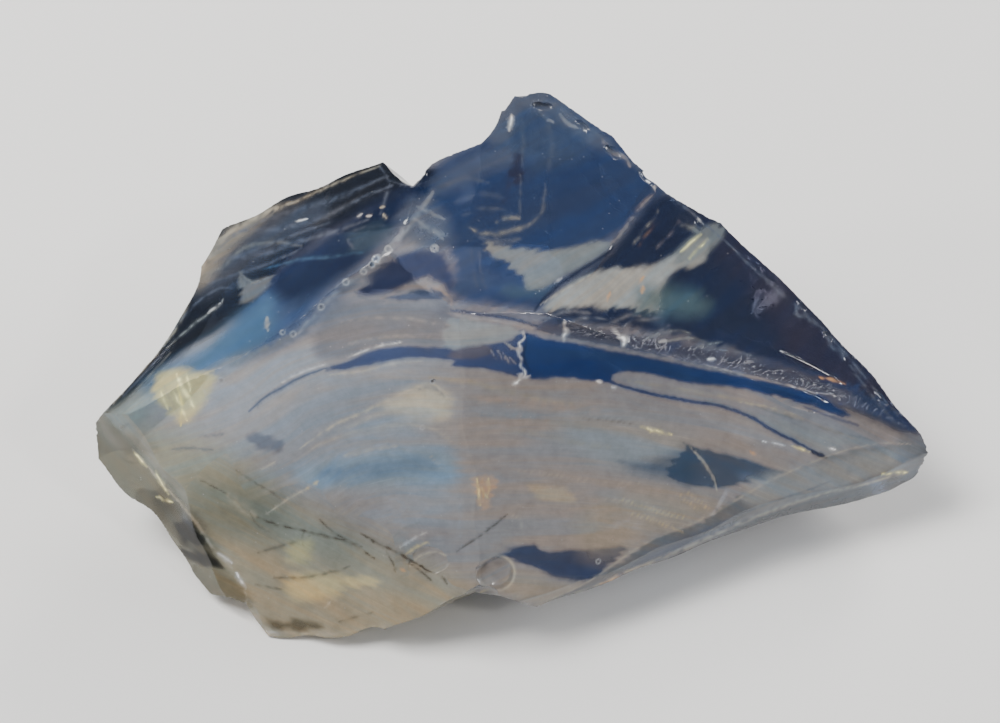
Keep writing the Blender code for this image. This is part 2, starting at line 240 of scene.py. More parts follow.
def fineHeight(place, strike, away, seed):
    # close ripples round the blow, and hackles that fan out from it
    f = fractures
    patch = 0.5 + 0.5 * smoothNoise(Vector((place.x, place.y, seed + f["patchSeed"])), f["patchSize"])
    ripple = f["fineRipple"] * patch * math.sin(2 * math.pi * away / f["finePitch"])
    turn = math.atan2(place.y - strike.y, place.x - strike.x)
    fan = smoothNoise(Vector((turn * f["hackleTurn"], away / f["hackleLength"], seed)), 1.0)
    growth = min(away / f["hackleGrowth"], 1.0)
    return ripple + f["hackle"] * growth * (1 - 2 * abs(fan))


def gridLines(low, high, fineLow, fineHigh, cell, farCell):
    # places of the grid's lines: close together over the face, far apart past it
    lines = []
    for start, end, step in ((low, fineLow, farCell), (fineLow, fineHigh, cell), (fineHigh, high, farCell)):
        count = max(1, round((end - start) / step))
        lines += [start + (end - start) * i / count for i in range(count)]
    return lines + [high]


cadCorners = list({
    tuple(round(c, 6) for c in v.co): v.co.copy()
    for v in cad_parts["glass_chunk"].data.vertices
}.values())


def fractureCutter(name, seed):
    f = fractures
    face = f["faces"][name]
    middle, normal = fracturePlane(name)
    toPlane = normal.to_track_quat("Z", "Y").to_matrix().to_4x4()
    toPlane.translation = middle
    fromPlane = toPlane.inverted()
    reach = sum((f["corners"][c] - middle).length for c in face[0]) / 3 / mm
    strike = (fromPlane @ face[1]) / mm
    strike.z = 0
    local = [(fromPlane @ c) / mm for c in f["corners"].values()]
    low = [min(p[i] for p in local) - f["margin"] for i in range(2)]
    high = [max(p[i] for p in local) + f["margin"] for i in range(2)]
    cell = f["cell"] if facesFront(name) else f["hiddenCell"]
    onFace = []
    for corner in cadCorners:
        place = (fromPlane @ corner) / mm
        if abs(place.z) < f["nearPlane"]:
            flat = Vector((place.x, place.y, 0))
            if abs(broadHeight(flat, strike, reach, face, seed)[0] - place.z) < f["nearFace"]:
                onFace.append(place)
    fineLow = [max(min(p[i] for p in onFace) - f["spare"], low[i] + 1) for i in range(2)]
    fineHigh = [min(max(p[i] for p in onFace) + f["spare"], high[i] - 1) for i in range(2)]
    lines = [gridLines(low[i], high[i], fineLow[i], fineHigh[i], cell, f["farCell"]) for i in range(2)]

    def build(bm):
        counts = [len(l) - 1 for l in lines]
        bmesh.ops.create_grid(bm, x_segments=counts[0], y_segments=counts[1], size=0.5)
        for vert in bm.verts:
            x, y = (lines[i][round((vert.co[i] + 0.5) * counts[i])] for i in range(2))
            place = Vector((x, y, 0))
            height, away = broadHeight(place, strike, reach, face, seed)
            if fineLow[0] <= x <= fineHigh[0] and fineLow[1] <= y <= fineHigh[1]:
                height += fineHeight(place, strike, away, seed)
            vert.co = Vector((x, y, height)) * mm
        made = bmesh.ops.extrude_face_region(bm, geom=bm.faces[:])["geom"]
        for vert in (v for v in made if isinstance(v, bmesh.types.BMVert)):
            vert.co.z = f["cutDepth"] * mm
        bmesh.ops.recalc_face_normals(bm, faces=bm.faces[:])
        bmesh.ops.transform(bm, matrix=toPlane, verts=bm.verts[:])

    return newObject("cut" + name, build)


def combine(body, cutter, operation):
    modifier = body.modifiers.new("cut", "BOOLEAN")
    modifier.operation = operation
    modifier.solver = "MANIFOLD"
    modifier.material_mode = "TRANSFER"  # so that each cut face still says which cutter made it
    modifier.object = cutter


def kindMaterial(kind):
    # a stand-in material that only marks the faces of one kind until they are painted
    return bpy.data.materials.get("kind" + kind) or bpy.data.materials.new("kind" + kind)


def applyModifiers(body):
    depsgraph = bpy.context.evaluated_depsgraph_get()
    mesh = bpy.data.meshes.new_from_object(body.evaluated_get(depsgraph))
    old = body.data
    body.modifiers.clear()
    body.data = mesh
    bpy.data.meshes.remove(old)


def roughBlock(bm):
    corners = fractures["corners"].values()
    middle = sum(corners, Vector()) / len(corners)
    for corner in corners:
        place = middle + (corner - middle) * fractures["roughAllowance"]
        place.z = max(corner.z, 0) * fractures["roughAllowance"]
        bm.verts.new(place)
    hull = bmesh.ops.convex_hull(bm, input=bm.verts[:])
    inside = {v for v in hull["geom_interior"] + hull["geom_unused"] if isinstance(v, bmesh.types.BMVert)}
    bmesh.ops.delete(bm, geom=list(inside), context="VERTS")
    bmesh.ops.recalc_face_normals(bm, faces=bm.faces[:])


# Chips, pits and grooves: the middle across and up, half the length, half the width, the depth, the turn in
# degrees, and how far the ends bend up.
bites = {
    "wobble": 0.12,
    "wobbleSize": 0.6,
    "groove": {
        "longGroove": (20.5, -0.4, 21.0, 2.0, 0.35, -9.0, -2.2),
        "ribHollow": (24.0, 2.6, 19.0, 2.4, 0.4, -14.0, -1.5),
    },
    "pit": {
        "bubblePit": (-1.5, -24.6, 2.4, 2.1, 0.9, 20.0, 0.0),
        "impactPit": (-9.3, -23.2, 2.2, 1.6, 0.25, -15.0, 0.0),
    },
    "chip": {
        "peakChipLeft": (4.2, 31.6, 1.3, 0.5, 0.5, -8.0, 0.0),
        "peakChipRight": (9.2, 29.2, 1.1, 0.5, 0.5, -38.0, 0.0),
        "rimChip1": (12.8, 26.0, 1.3, 0.6, 0.6, -40.0, 0.0),
        "rimChip2": (17.0, 22.9, 1.2, 0.6, 0.6, -40.0, 0.0),
        "rimChip3": (23.4, 17.2, 1.4, 0.6, 0.6, -40.0, 0.0),
        "rimChip4": (36.1, 7.4, 1.1, 0.4, 0.45, -45.0, 0.0),
        "rimChip5": (39.4, 3.6, 0.9, 0.45, 0.45, -48.0, 0.0),
        "rimChip6": (46.0, -4.0, 1.2, 0.4, 0.45, -52.0, 0.0),
        "bottomChip": (-3.2, -27.8, 2.2, 1.6, 1.8, 10.0, 0.0),
        "tipTrim": (-48.9, -2.5, 12.0, 2.0, 9.0, 47.0, 0.0),
        "wingTrim": (-42.3, 6.0, 8.0, 2.0, 9.0, 60.0, 0.0),
    },
    # round scars on the hidden sides: fracture, offset, the ball's radius and its bite
    "scar": {
        "scarBack": ("backRight", Vector((-3, 0, 6)), 22.0, 1.8),
        "scarWing": ("backWing", Vector((-6, 0, -3)), 18.0, 1.5),
        "scarLeft": ("backLeft", Vector((6, 2, 0)), 14.0, 0.7),
        "scarUnder": ("underLeft", Vector((-3, 0, 2)), 15.0, 1.2),
    },
    "scarWobble": 0.012,
    "scarWobbleSize": 5.0,
}


def frontDepth(across, up):
    start = onSlope(across, up)
    return min(
        (middle - start).dot(normal) / normal.dot(outward) / mm
        for middle, normal in frontPlanes
    )


frontPlanes = [fracturePlane(name) for name in fractures["faces"] if facesFront(name)]


def biteCutter(name, bite, detail):
    across, up, halfLength, halfWidth, depth, turn, bend = bite
    turned = Matrix.Rotation(math.radians(turn), 2)

    def build(bm):
        bmesh.ops.create_icosphere(bm, subdivisions=detail, radius=1)
        for vert in bm.verts:
            ball = vert.co.copy()
            edge = 1 + bites["wobble"] * smoothNoise(ball + Vector((across, up, 0)), bites["wobbleSize"])
            place = turned @ Vector((ball.x * halfLength, ball.y * halfWidth * edge + bend * ball.x ** 2))
            place += Vector((across, up))
            vert.co = onSlope(place.x, place.y, frontDepth(place.x, place.y) + depth * ball.z * edge)

    return newObject(name, build)


def scarCutter(name, scar):
    fracture, offset, radius, bite = scar
    middle, normal = fracturePlane(fracture)
    offset = offset - normal * offset.dot(normal)
    centre = middle + (offset + normal * (radius - bite)) * mm

    def build(bm):
        bmesh.ops.create_icosphere(bm, subdivisions=5, radius=radius * mm)
        for vert in bm.verts:
            vert.co *= 1 + bites["scarWobble"] * smoothNoise(vert.co / mm, bites["scarWobbleSize"])
        bmesh.ops.translate(bm, vec=centre, verts=bm.verts[:])

    return newObject(name, build)


def biteOut(body, cutter, kind):
    cutter.data.materials.append(kindMaterial(kind))
    combine(body, cutter, "DIFFERENCE")


# Small chips along the sharp rims.
rimChips = {
    "sharpDegrees": 38.0,  # an edge between a front and a hidden face chips where it turns more than this
    "seed": 4,
    "upperRightFrom": (3.0, -9.0, -0.1),  # how far across that rim starts, and the line that it lies above
    "upperRight": {"gap": 0.8, "radius": (0.25, 0.6)},
    "elsewhere": {"gap": 3.0, "radius": (0.15, 0.4)},
    "vary": (0.6, 1.0),  # how much smaller a chip may turn out
    "gapShare": 0.4,
    "wobble": 0.14,
    "wobbleSize": 0.7,
    "stretch": 1.5,  # how much longer a chip is along its rim
    "leave": ((1.0, 32.5), 3.5),  # a rim with no chips: its place across and up, and how far round it
    "sink": 0.72,  # how far a chip's middle stands off the rim, in radii
}


def kindName(material):
    return material.name[len("kind"):]


def rimSpots(mesh, rng):
    # places along the sharp rims, each with the rim's direction, the way out of the glass and a radius
    bm = bmesh.new()
    bm.from_mesh(mesh)
    frontKinds = {i for i, m in enumerate(mesh.materials) if kindName(m) in frontKindNames}
    edges = []
    for edge in bm.edges:
        if len(edge.link_faces) != 2 or edge.calc_face_angle(0) < math.radians(rimChips["sharpDegrees"]):
            continue
        a, b = edge.link_faces
        if (a.material_index in frontKinds) != (b.material_index in frontKinds):
            out = (a.normal + b.normal).normalized()
            along = (edge.verts[0].co - edge.verts[1].co).normalized()
            edges.append(((edge.verts[0].co + edge.verts[1].co) / 2, along, out))
    bm.free()
    edges.sort(key=lambda e: tuple(round(c, 6) for c in e[0]))
    rng.shuffle(edges)
    spots = []
    for place, along, out in edges:
        across, up = place.x / mm, place.dot(uphill) / mm - slope["height"] * uphill.z
        (x, y), reach = rimChips["leave"]
        if math.hypot(across - x, up - y) < reach:
            continue
        start, height, fall = rimChips["upperRightFrom"]
        upperRight = across > start and up > height + fall * across
        wear = rimChips["upperRight" if upperRight else "elsewhere"]
        radius = rng.uniform(*wear["radius"]) * rng.uniform(*rimChips["vary"])
        gap = wear["gap"] * mm * rimChips["gapShare"]
        if all((place - s[0]).length > (radius + s[3]) * rimChips["stretch"] * mm + gap for s in spots):
            spots.append((place, along, out, radius))
    return spots


def rimChipCutter(spots):
    def build(bm):
        for number, (place, along, out, radius) in enumerate(spots):
            made = bmesh.ops.create_icosphere(bm, subdivisions=2, radius=1)["verts"]
            side = along.cross(out).normalized()
            centre = place + out * radius * rimChips["sink"] * mm
            for vert in made:
                edge = smoothNoise(vert.co + Vector((number, 0, 0)), rimChips["wobbleSize"])
                ball = vert.co * (1 + rimChips["wobble"] * edge)
                vert.co = centre + (
                    along * ball.x * rimChips["stretch"] + out * ball.y + side * ball.z
                ) * radius * mm

    return newObject("rimChips", build)


# Linear colours painted on the glass, and how clear it is there: 0 is milky and 1 is clear with the dark
# behind it.
# Most are the glass's own colours. The yellow glow, the rays, the arch, the bubble rings and the pale facet
# are painted light: glow, glints, highlights and reflections. The pale veils, gold, orange, cream and white
# are partly painted light, and the near black and navy tints are partly painted darkness, a dark background
# seen through clear glass.
tints = {
    "navy": (0.028, 0.052, 0.135, 1.0),
    "deepNavy": (0.014, 0.044, 0.165, 1.0),
    "rightNavy": (0.016, 0.026, 0.066, 1.0),
    "violet": (0.030, 0.031, 0.062, 1.0),
    "violetHollow": (0.014, 0.028, 0.095, 0.8),
    "wingDark": (0.008, 0.012, 0.022, 1.0),
    "wingNavy": (0.004, 0.012, 0.048, 1.0),
    "midBlue": (0.022, 0.058, 0.155, 0.8),
    "lightBlue": (0.060, 0.140, 0.260, 0.4),
    "cyan": (0.240, 0.310, 0.310, 0.2),
    "glow": (1.000, 0.860, 0.280, 0.0),
    # pale veils in the glass, and also painted sheen: light reflected in it
    "veilAndSheen": (0.265, 0.280, 0.275, 0.3),
    # painted reflection: the pale facet's light
    "paleFacet": (0.450, 0.445, 0.410, 0.3),
    "teal": (0.085, 0.150, 0.180, 0.6),
    "lilac": (0.330, 0.315, 0.330, 0.0),
    "lilacBlue": (0.370, 0.400, 0.445, 0.0),
    "blueGrey": (0.300, 0.350, 0.385, 0.1),
    "warmGrey": (0.405, 0.370, 0.350, 0.0),
    "frontBlue": (0.300, 0.440, 0.590, 0.2),
    "haze": (0.130, 0.155, 0.215, 0.3),
    "arch": (0.830, 0.760, 0.560, 0.0),
    "greenGrey": (0.330, 0.340, 0.270, 0.0),
    "tan": (0.490, 0.425, 0.300, 0.0),
    "gold": (1.000, 0.780, 0.360, 0.0),
    "orange": (0.950, 0.520, 0.220, 0.0),
    "cream": (0.700, 0.650, 0.520, 0.0),
    "white": (0.960, 0.960, 0.960, 0.0),
    "brown": (0.070, 0.045, 0.025, 0.2),
    "smoke": (0.075, 0.070, 0.060, 0.6),
    "bevel": (0.165, 0.180, 0.198, 0.3),
    "bevelBlue": (0.075, 0.110, 0.200, 0.6),
    "tipBlue": (0.200, 0.240, 0.300, 0.2),
    "lilacLine": (0.300, 0.280, 0.320, 0.0),
    "pinkLine": (0.330, 0.285, 0.275, 0.0),
    "darkLine": (0.010, 0.018, 0.050, 1.0),
    "bubble": (0.520, 0.570, 0.630, 0.0),
    "mauve": (0.130, 0.115, 0.130, 0.1),
    "steel": (0.410, 0.435, 0.440, 0.0),
    "lilacDim": (0.190, 0.200, 0.235, 0.0),
    "smokeGreen": (0.200, 0.200, 0.150, 0.1),
    "olive": (0.115, 0.105, 0.062, 0.3),
    "oliveDark": (0.050, 0.042, 0.021, 0.5),
    "peakBlue": (0.055, 0.088, 0.170, 0.7),
    "triNavy": (0.045, 0.082, 0.150, 0.8),
    "ray": (1.000, 0.930, 0.450, 0.0),
    "beltGrey": (0.090, 0.088, 0.118, 0.2),
    # near black: painted darkness where a dark background shows through clear glass, and small dark crumbs
    "nearBlack": (0.012, 0.012, 0.012, 0.8),
}

# Broad washes of colour, which go right through it: the tint, how strong it is, how soft
# its edge is in millimetres, and its outline across and up the slope.
# Most are the glass's own colour; the wing's near black is painted darkness, a dark background seen through
# clear glass, and the navy and violet washes partly are too.
washes = {
    "base": "lilac",
    "lowerLeft": ("greenGrey", 0.9, 4.0, (
        (-54, -6), (-42, -6), (-33, -9), (-26, -14), (-18, -19), (-9, -24), (-2, -27), (-8, -34),
        (-34, -36), (-56, -18))),
    "lowerTan": ("tan", 0.9, 3.0, (
        (-38, -24), (-31, -21.5), (-21.5, -23.5), (-10.6, -25.1), (-4.6, -27.2), (-8, -33),
        (-30, -36))),
    "leftBlue": ("lilacBlue", 0.85, 4.0, (
        (-44, -4), (-33, 5), (-20, 2), (-6, 0), (-6, -18), (-20, -17), (-34, -9))),
    "rightGrey": ("warmGrey", 0.8, 4.0, (
        (-6, 0), (12, -2), (30, -7), (40, -11), (22, -19), (11, -25), (0, -28), (-6, -22))),
    "upperNavy": ("navy", 1.0, 1.4, (
        (-10.5, 23), (-2, 29), (1, 36), (8, 36), (17, 27), (19.5, 22), (17, 19), (12, 14.2), (6.2, 9.3),
        (3.4, 6.5), (-6.7, 7.6), (-7.1, 12.8), (-9.6, 14.5), (-11.5, 17.5), (-12.5, 21))),
    "midBlue": ("midBlue", 0.95, 2.0, (
        (-33, 8), (-28, 12), (-19, 18), (-11, 22), (-8, 21), (-12.5, 15.5), (-19, 9.5), (-24, 4.6),
        (-29, 1.6), (-33, 2))),
    # painted darkness: the clear wing, tinted near black as if over a dark background
    "wing": ("wingDark", 1.0, 0.6, (
        (-53, -7), (-45.5, 1), (-41, 6), (-38, 16), (-28, 22), (-14, 27), (-9, 23), (-11.5, 20.7),
        (-18.9, 17.5), (-24.6, 14.1), (-28.1, 10.9), (-32, 6.4), (-38.1, 2.3), (-42.2, -0.9),
        (-48.5, -5.6))),
    "rightNavy": ("rightNavy", 1.0, 1.0, (
        (18.8, 21.5), (27, 18), (38, 8), (46, -1), (51, -8), (46.5, -7.0), (40.6, -4.2), (33.5, -1.0),
        (28.4, 1.2), (22.1, 3.0), (12, 4.6), (4.4, 5.7), (6.2, 9), (12.3, 14))),
    "rightViolet": ("violet", 0.9, 4.0, (
        (25.4, 18), (38, 8), (46, -1), (51, -8), (45.7, -6.5), (38, -3.0), (33.4, 0.1), (31.0, 4.4),
        (28.7, 9.9), (25, 14.2))),
}

# Details of the front, painted over the washes in this order, in the same terms.
patches = {
    "cyanRim": ("cyan", 0.8, 1.0, (
        (-50.3, -7.4), (-42.2, -1), (-40.2, -0.7), (-40.9, -3.1), (-44, -6), (-47, -8))),
    "lightBlue": ("lightBlue", 1.0, 1.6, (
        (-44, -2.4), (-37.3, 2.3), (-31.5, 6.6), (-28.8, 8.2), (-28.0, 4.8), (-31, 1.6), (-36.9, -1.0),
        (-41.3, -2.9))),
    "yellowGlow": ("glow", 0.55, 0.6, (
        (-41.8, -0.9), (-35.5, -0.7), (-35.7, -2.6), (-37.0, -4.8), (-38.6, -6.8), (-40.8, -5.4),
        (-42.6, -3.2))),
    # partly painted darkness: the clear wing's deep blue, darkened as if over a dark background
    "wingNavy": ("wingNavy", 0.95, 1.4, (
        (-27, 13), (-18.9, 17.9), (-11.5, 22.0), (-8.6, 22.6), (-9.8, 19.7), (-13.3, 15.8),
        (-18.7, 10.8), (-23.5, 8), (-28.5, 8.6))),
    "wingTeal": ("teal", 0.22, 0.8, (
        (-19, 16.1), (-14.5, 17), (-13, 15.6), (-16, 13.6), (-18.6, 13.8))),
    "wingGrey": ("haze", 0.45, 2.2, (
        (-38, 9), (-37, 14.5), (-31, 18.5), (-24, 20), (-22, 18), (-28, 15), (-34, 10))),
    # painted glow: a cream light just inside the wing's rim
    "wingCream": ("cream", 0.3, 1.0, (
        (-38.5, 10), (-36.4, 15.4), (-30, 19.6), (-31, 17.8), (-35, 13.6), (-37, 10))),
    "wingPatch": ("veilAndSheen", 0.55, 0.4, (
        (-32.8, 11.4), (-31.4, 10.3), (-28.5, 10.8), (-29.4, 9.2), (-31.7, 7.7), (-32.4, 9.5))),
    "violetHollow": ("violetHollow", 0.95, 0.6, (
        (-17.3, 8.6), (-15.6, 11.2), (-13.7, 12.8), (-11.3, 13.8), (-9.1, 14), (-7.3, 12.7),
        (-6.8, 8.7), (-8.8, 9.9), (-11.2, 9.9), (-13.4, 8.9), (-15.6, 8.2))),
    "peakBlue": ("peakBlue", 0.8, 1.5, (
        (-1.5, 27), (-0.4, 31.5), (2, 33.5), (6, 32.5), (10.5, 28.6), (8, 25), (2, 24.5))),
    "peakEdge": ("haze", 0.55, 0.7, (
        (-2.6, 27.4), (-0.8, 31.6), (1.9, 34), (5.8, 33), (10, 29.8), (13.2, 27.2), (11.2, 26.3),
        (7.6, 28.8), (3.9, 30.8), (1.5, 30.8), (0, 27.3))),
    "shoulderHaze": ("haze", 0.5, 1.2, (
        (-9, 22), (-5.5, 24.5), (-1, 26.5), (0.6, 24.5), (-3, 23), (-7.4, 20.6))),
    "darkPit": ("violet", 0.8, 0.5, ((0.4, 25.4), (1.6, 25.6), (1.7, 22.5), (0.9, 21.8), (0.3, 23.4))),
    "rightDeep": ("rightNavy", 0.7, 1.5, (
        (19, 9.2), (23.4, 11.1), (29, 9.3), (32, 4.4), (34.4, 0.5), (28.4, 1.9), (22.1, 3.9), (15, 5.4),
        (18, 7.0))),
    # painted reflection: a pale sheen of light on the upper face
    "veilAndSheen": ("veilAndSheen", 0.95, 0.45, (
        (-2.6, 14.4), (-0.8, 12.6), (1.3, 10.8), (2.3, 9.3), (4.4, 9.5), (7.5, 11.1), (10.7, 13),
        (12.3, 14.6), (9.4, 14.5), (5.4, 13.7), (1.8, 13.9), (-0.8, 14.4))),
    "veilTail": ("teal", 0.35, 0.7, (
        (-0.5, 9.3), (2.3, 9.6), (4.4, 9.4), (6, 9.9), (3.4, 8.2), (-0.6, 8.4))),
    "hazeTop": ("haze", 0.85, 1.4, (
        (-12.2, 15.2), (-12.2, 18), (-10.4, 19.6), (-7.2, 17.6), (-7.4, 14.4), (-9.8, 13.9))),
    # painted reflections: the pale facet and the flare after it are light on the facet
    "paleFacet": ("paleFacet", 1.0, 0.45, (
        (3.8, 6.9), (8, 10), (12, 11.6), (16, 11.9), (20.1, 13.4), (23.3, 15.6), (24.3, 15.4),
        (23.8, 12.7), (19.8, 11.3), (18.4, 9.4), (18.1, 6.7), (13.3, 7.3), (8, 7.1))),
    "facetFlare": ("veilAndSheen", 0.75, 0.5, (
        (20.2, 12.6), (21.6, 15.2), (23.4, 16.9), (25.6, 17.4), (26.6, 16.2), (24.6, 14.2),
        (22.6, 12.4))),
    "tealFacet": ("teal", 0.85, 1.5, (
        (15.9, 9.1), (17.8, 9.7), (22.1, 9.2), (24.5, 7.3), (22, 6.2), (15.7, 6.7))),
    "underArch": ("haze", 0.35, 0.4, (
        (-15.6, 7.9), (-13.4, 8.3), (-11.2, 9.1), (-8.8, 9.0), (-6.9, 8.0), (-6.7, 7.3), (-10.4, 7.6),
        (-13.9, 7.7))),
    # painted shadow: the dark just under the arch's raised lip
    "underArchDark": ("midBlue", 0.8, 0.3, (
        (-14.6, 8.0), (-11.2, 8.9), (-8.8, 8.8), (-7.4, 8.0), (-10.4, 7.8))),
    "underLines": ("lilacDim", 0.95, 0.8, (
        (-21, 7.0), (-15.6, 7.6), (-6.9, 7.0), (-6.5, 5.6), (-7.1, 4.2), (-7.7, 2.5), (-12.3, 2.6),
        (-15.6, 2.1), (-19.9, 0.7), (-23, 1.5))),
    "paleAbove": ("blueGrey", 0.95, 0.4, (
        (-6.5, 5.6), (-2.8, 5.1), (1.5, 4.2), (0.1, 3.2), (-2.8, 2.6), (-5.4, 2), (-7.7, 2.4),
        (-7.1, 4.2))),
    "knot": ("navy", 0.8, 0.35, ((3.9, 5.6), (6.4, 5.7), (8, 5.2), (7.2, 4.0), (4.4, 3.9), (3.2, 4.4))),
    "belt": ("navy", 0.7, 0.5, (
        (3.8, 4.3), (6.2, 5.2), (11, 4.1), (15.8, 3.4), (20.7, 2.8), (25.7, 1.8), (30.7, 1), (35.7, 0),
        (40.7, -1.7), (45.9, -4.2), (50, -7.4), (48.9, -8.1), (45.7, -6.6), (40.6, -4.9), (35.5, -3.4),
        (30.6, -1.9), (25.6, -0.6), (20.7, 0.5), (15.8, 1.4), (11, 2.5), (6.8, 3.3))),
    "beltGrey": ("beltGrey", 0.7, 0.5, (
        (3.8, 5.2), (7, 4.9), (10.1, 4.5), (12.8, 4.4), (15.9, 3.6), (19.1, 3.8), (22.2, 2.8),
        (25.4, 2.1), (29.1, 1.6), (33.3, 0.2), (35.9, -0.6), (38.6, -1.9), (42, -3.4), (40.4, -4.8),
        (37, -3.8), (33.3, -2.1), (30.7, -0.8), (27.5, -0.1), (24.9, 0.3), (22.2, 0.7), (19.1, 1.6),
        (15.9, 2.4), (12.8, 2.7), (9.6, 2.9), (6.7, 3.2), (4.3, 3.9))),
    "beltLumpA": ("navy", 0.7, 0.35, ((18, 2.2), (19.2, 2.9), (20.8, 2.3), (20.4, 1.5), (18.8, 1.4))),
    "beltLumpB": ("navy", 0.6, 0.35, ((30.6, 0.2), (32, 0.4), (33.4, -0.8), (32.4, -1.3), (31, -0.8))),
    "beltLumpC": ("navy", 0.6, 0.35, ((34.2, -1.2), (35.4, -1.3), (36, -2.2), (34.8, -2.4))),
    "lens": ("lilac", 0.85, 0.4, (
        (12.5, -1.5), (13.8, -0.95), (17.5, -1.25), (22.2, -2.3), (27, -2.75), (30.7, -3.5), (34, -4.7),
        (39.4, -5.6), (44.4, -7.1), (48.3, -8.6), (49.8, -9.9), (45.8, -9.7), (42, -9.8), (38.7, -11),
        (35.7, -9.7), (32.4, -7.8), (29.4, -6.2), (27, -5.1), (24.9, -4.5), (19.1, -3.5),
        (15.9, -2.8))),
    "lensBlue": ("blueGrey", 0.8, 0.9, (
        (28.1, -5.8), (33.1, -6.6), (39.4, -8.1), (44.5, -9.1), (42, -9.8), (39, -10.8), (35.7, -9.5),
        (31.9, -7.8))),
    # painted darkness: both halves of the navy band stand for a dark background seen through facets behind
    # the front
    "bandLeft": ("deepNavy", 0.92, 0.3, (
        (-21.7, -0.4), (-19.3, 0.5), (-15.6, 1.9), (-12.3, 2.4), (-7.7, 2.3), (-5.7, 1.9), (-2.8, 2.5),
        (0.1, 3.1), (1.5, 4.0), (2.4, 3.6), (2.4, -1.1), (-0.9, -0.8), (-2.8, -0.3), (-5.9, 0),
        (-6.5, 0.7), (-10.1, 1), (-13.5, 0.7), (-16.6, 0), (-19.3, -0.5))),
    "bandRight": ("deepNavy", 1.0, 0.3, (
        (1.5, 4), (4.4, 3.3), (8, 2.7), (13.4, 1.7), (18.3, 0.8), (23.2, -0.2), (28.1, -1.2),
        (33.1, -2.3), (38.1, -3.6), (41.9, -6.2), (35.6, -4.4), (30.9, -3.4), (27, -2.6), (22.2, -2.15),
        (17.5, -1.1), (13.9, -0.8), (12.5, -1.4), (13.4, -2.1), (10.8, -1.8), (6.2, -1.5),
        (1.9, -1.2))),
    "bandPatch": ("mauve", 0.7, 0.3, (
        (-7.0, 1.6), (-5.2, 2.0), (-2.8, 2.5), (-1.9, 1.8), (-2.9, 1.1), (-5.8, 0.9))),
    # painted highlight: a yellow pool of light under the arch
    "archGlow": ("arch", 0.7, 1.0, (
        (-15, -4.6), (-11.1, -2.7), (-9, -2.4), (-7.2, -3.5), (-7.0, -6.0), (-9.8, -6.6),
        (-12.8, -5.8))),
    "frontBlue": ("frontBlue", 0.9, 1.3, (
        (-25.3, -12.5), (-20.1, -11), (-15, -9.9), (-9.3, -9.5), (-6.3, -10.2), (-6.4, -14.0),
        (-12.9, -14.4), (-18.9, -14.6), (-23.8, -14.6))),
    "frontBlueDeep": ("midBlue", 0.35, 1.2, (
        (-22.3, -12.2), (-16.1, -11), (-10, -10.6), (-8.3, -12.2), (-13.9, -13.2), (-20.9, -13.9))),
    "underArchBlue": ("frontBlue", 0.5, 1.0, (
        (-20, -8.4), (-15, -6.0), (-10, -5.4), (-9, -6.6), (-15, -8.2))),
    "violetPatch": ("violetHollow", 0.5, 0.4, (
        (-31, -8.1), (-29.4, -8.1), (-26.6, -9.6), (-27.3, -10.3), (-29.5, -10.1), (-31.2, -9.1))),
    "tealRight": ("steel", 0.8, 2.0, (
        (6.2, -6.4), (13.4, -6.2), (22, -9), (22.1, -12.6), (15.9, -12.5), (8.6, -10.3))),
    # painted darkness: the navy triangle, sharp and soft, stands for a dark background seen through facets
    # behind
    "navyTriangle": ("triNavy", 0.9, 0.3, (
        (21.5, -9.5), (21.6, -9.5), (25, -10.4), (29, -11.4), (33.9, -12.9), (34, -12.9), (32.1, -13.6),
        (28, -14.6), (24.8, -14.9), (21.5, -14.2), (19.8, -13.6), (19.6, -12.5), (20.4, -11))),
    "navyTriangleSoft": ("triNavy", 0.75, 1.2, (
        (14, -11.9), (18, -11.2), (21.5, -9.9), (22.5, -12), (22, -14.4), (19.8, -13.9), (16, -12.9))),
    # painted darkness: the navy patch stands for a dark background seen through facets behind
    "navyPatch": ("navy", 0.92, 0.35, (
        (-3.6, -23.9), (-0.5, -22.3), (2.8, -21.3), (4.2, -22.2), (9.4, -22.1), (13.8, -21.7),
        (12.6, -23.5), (9.9, -26.0), (5.7, -25.4), (2.8, -24.2), (1.2, -23.5), (-0.9, -22.9))),
    "warmRight": ("tan", 0.45, 2.0, (
        (11.1, -16.1), (18.4, -15.4), (25.8, -16.6), (23.4, -18.8), (17.2, -21.1), (11.1, -23.4),
        (8.1, -20.9))),
    # painted glow: an orange patch of light among the glints
    "orangePatch": ("orange", 0.38, 0.3, (
        (-3.9, -13.3), (-1.3, -13.3), (-1.7, -15.4), (-2.5, -16.9), (-3.3, -16.9), (-3.6, -15))),
    "tanPatch": ("gold", 0.25, 0.4, ((2.6, -14.2), (7.4, -14.9), (8.1, -16.5), (4.4, -16))),
    "bottomTan": ("tan", 0.5, 1.0, (
        (1.4, -24.7), (5.7, -25.9), (10, -26.6), (8.1, -28), (4.3, -29.4), (-0.4, -27.2))),
    # painted glow and glints: the next three gold patches are light gathered on the lower left
    "goldLow": ("gold", 0.6, 0.8, (
        (-27.2, -26.3), (-24, -25.2), (-20.2, -25.2), (-19.7, -26.4), (-22.2, -28.3), (-25.8, -28.6))),
    "goldSmall": ("gold", 0.6, 0.4, ((-19.7, -25.5), (-16.4, -25.3), (-16.2, -26.3), (-19.1, -26.6))),
    "goldSpots": ("glow", 0.3, 0.8, ((-26.4, -21.7), (-23.9, -21), (-23.7, -23.5), (-26.2, -23.8))),
    # painted shade: the next three dark patches, where a dark background shows through the clear glass
    "darkPatchHigh": ("smoke", 0.8, 0.3, (
        (-40.6, -19.3), (-38.1, -19), (-37.2, -20.9), (-38.6, -22), (-40.1, -21.8))),
    "darkPatchMid": ("smoke", 0.85, 0.3, (
        (-39.5, -23), (-36.2, -22.8), (-34.8, -24.1), (-37.4, -24.4))),
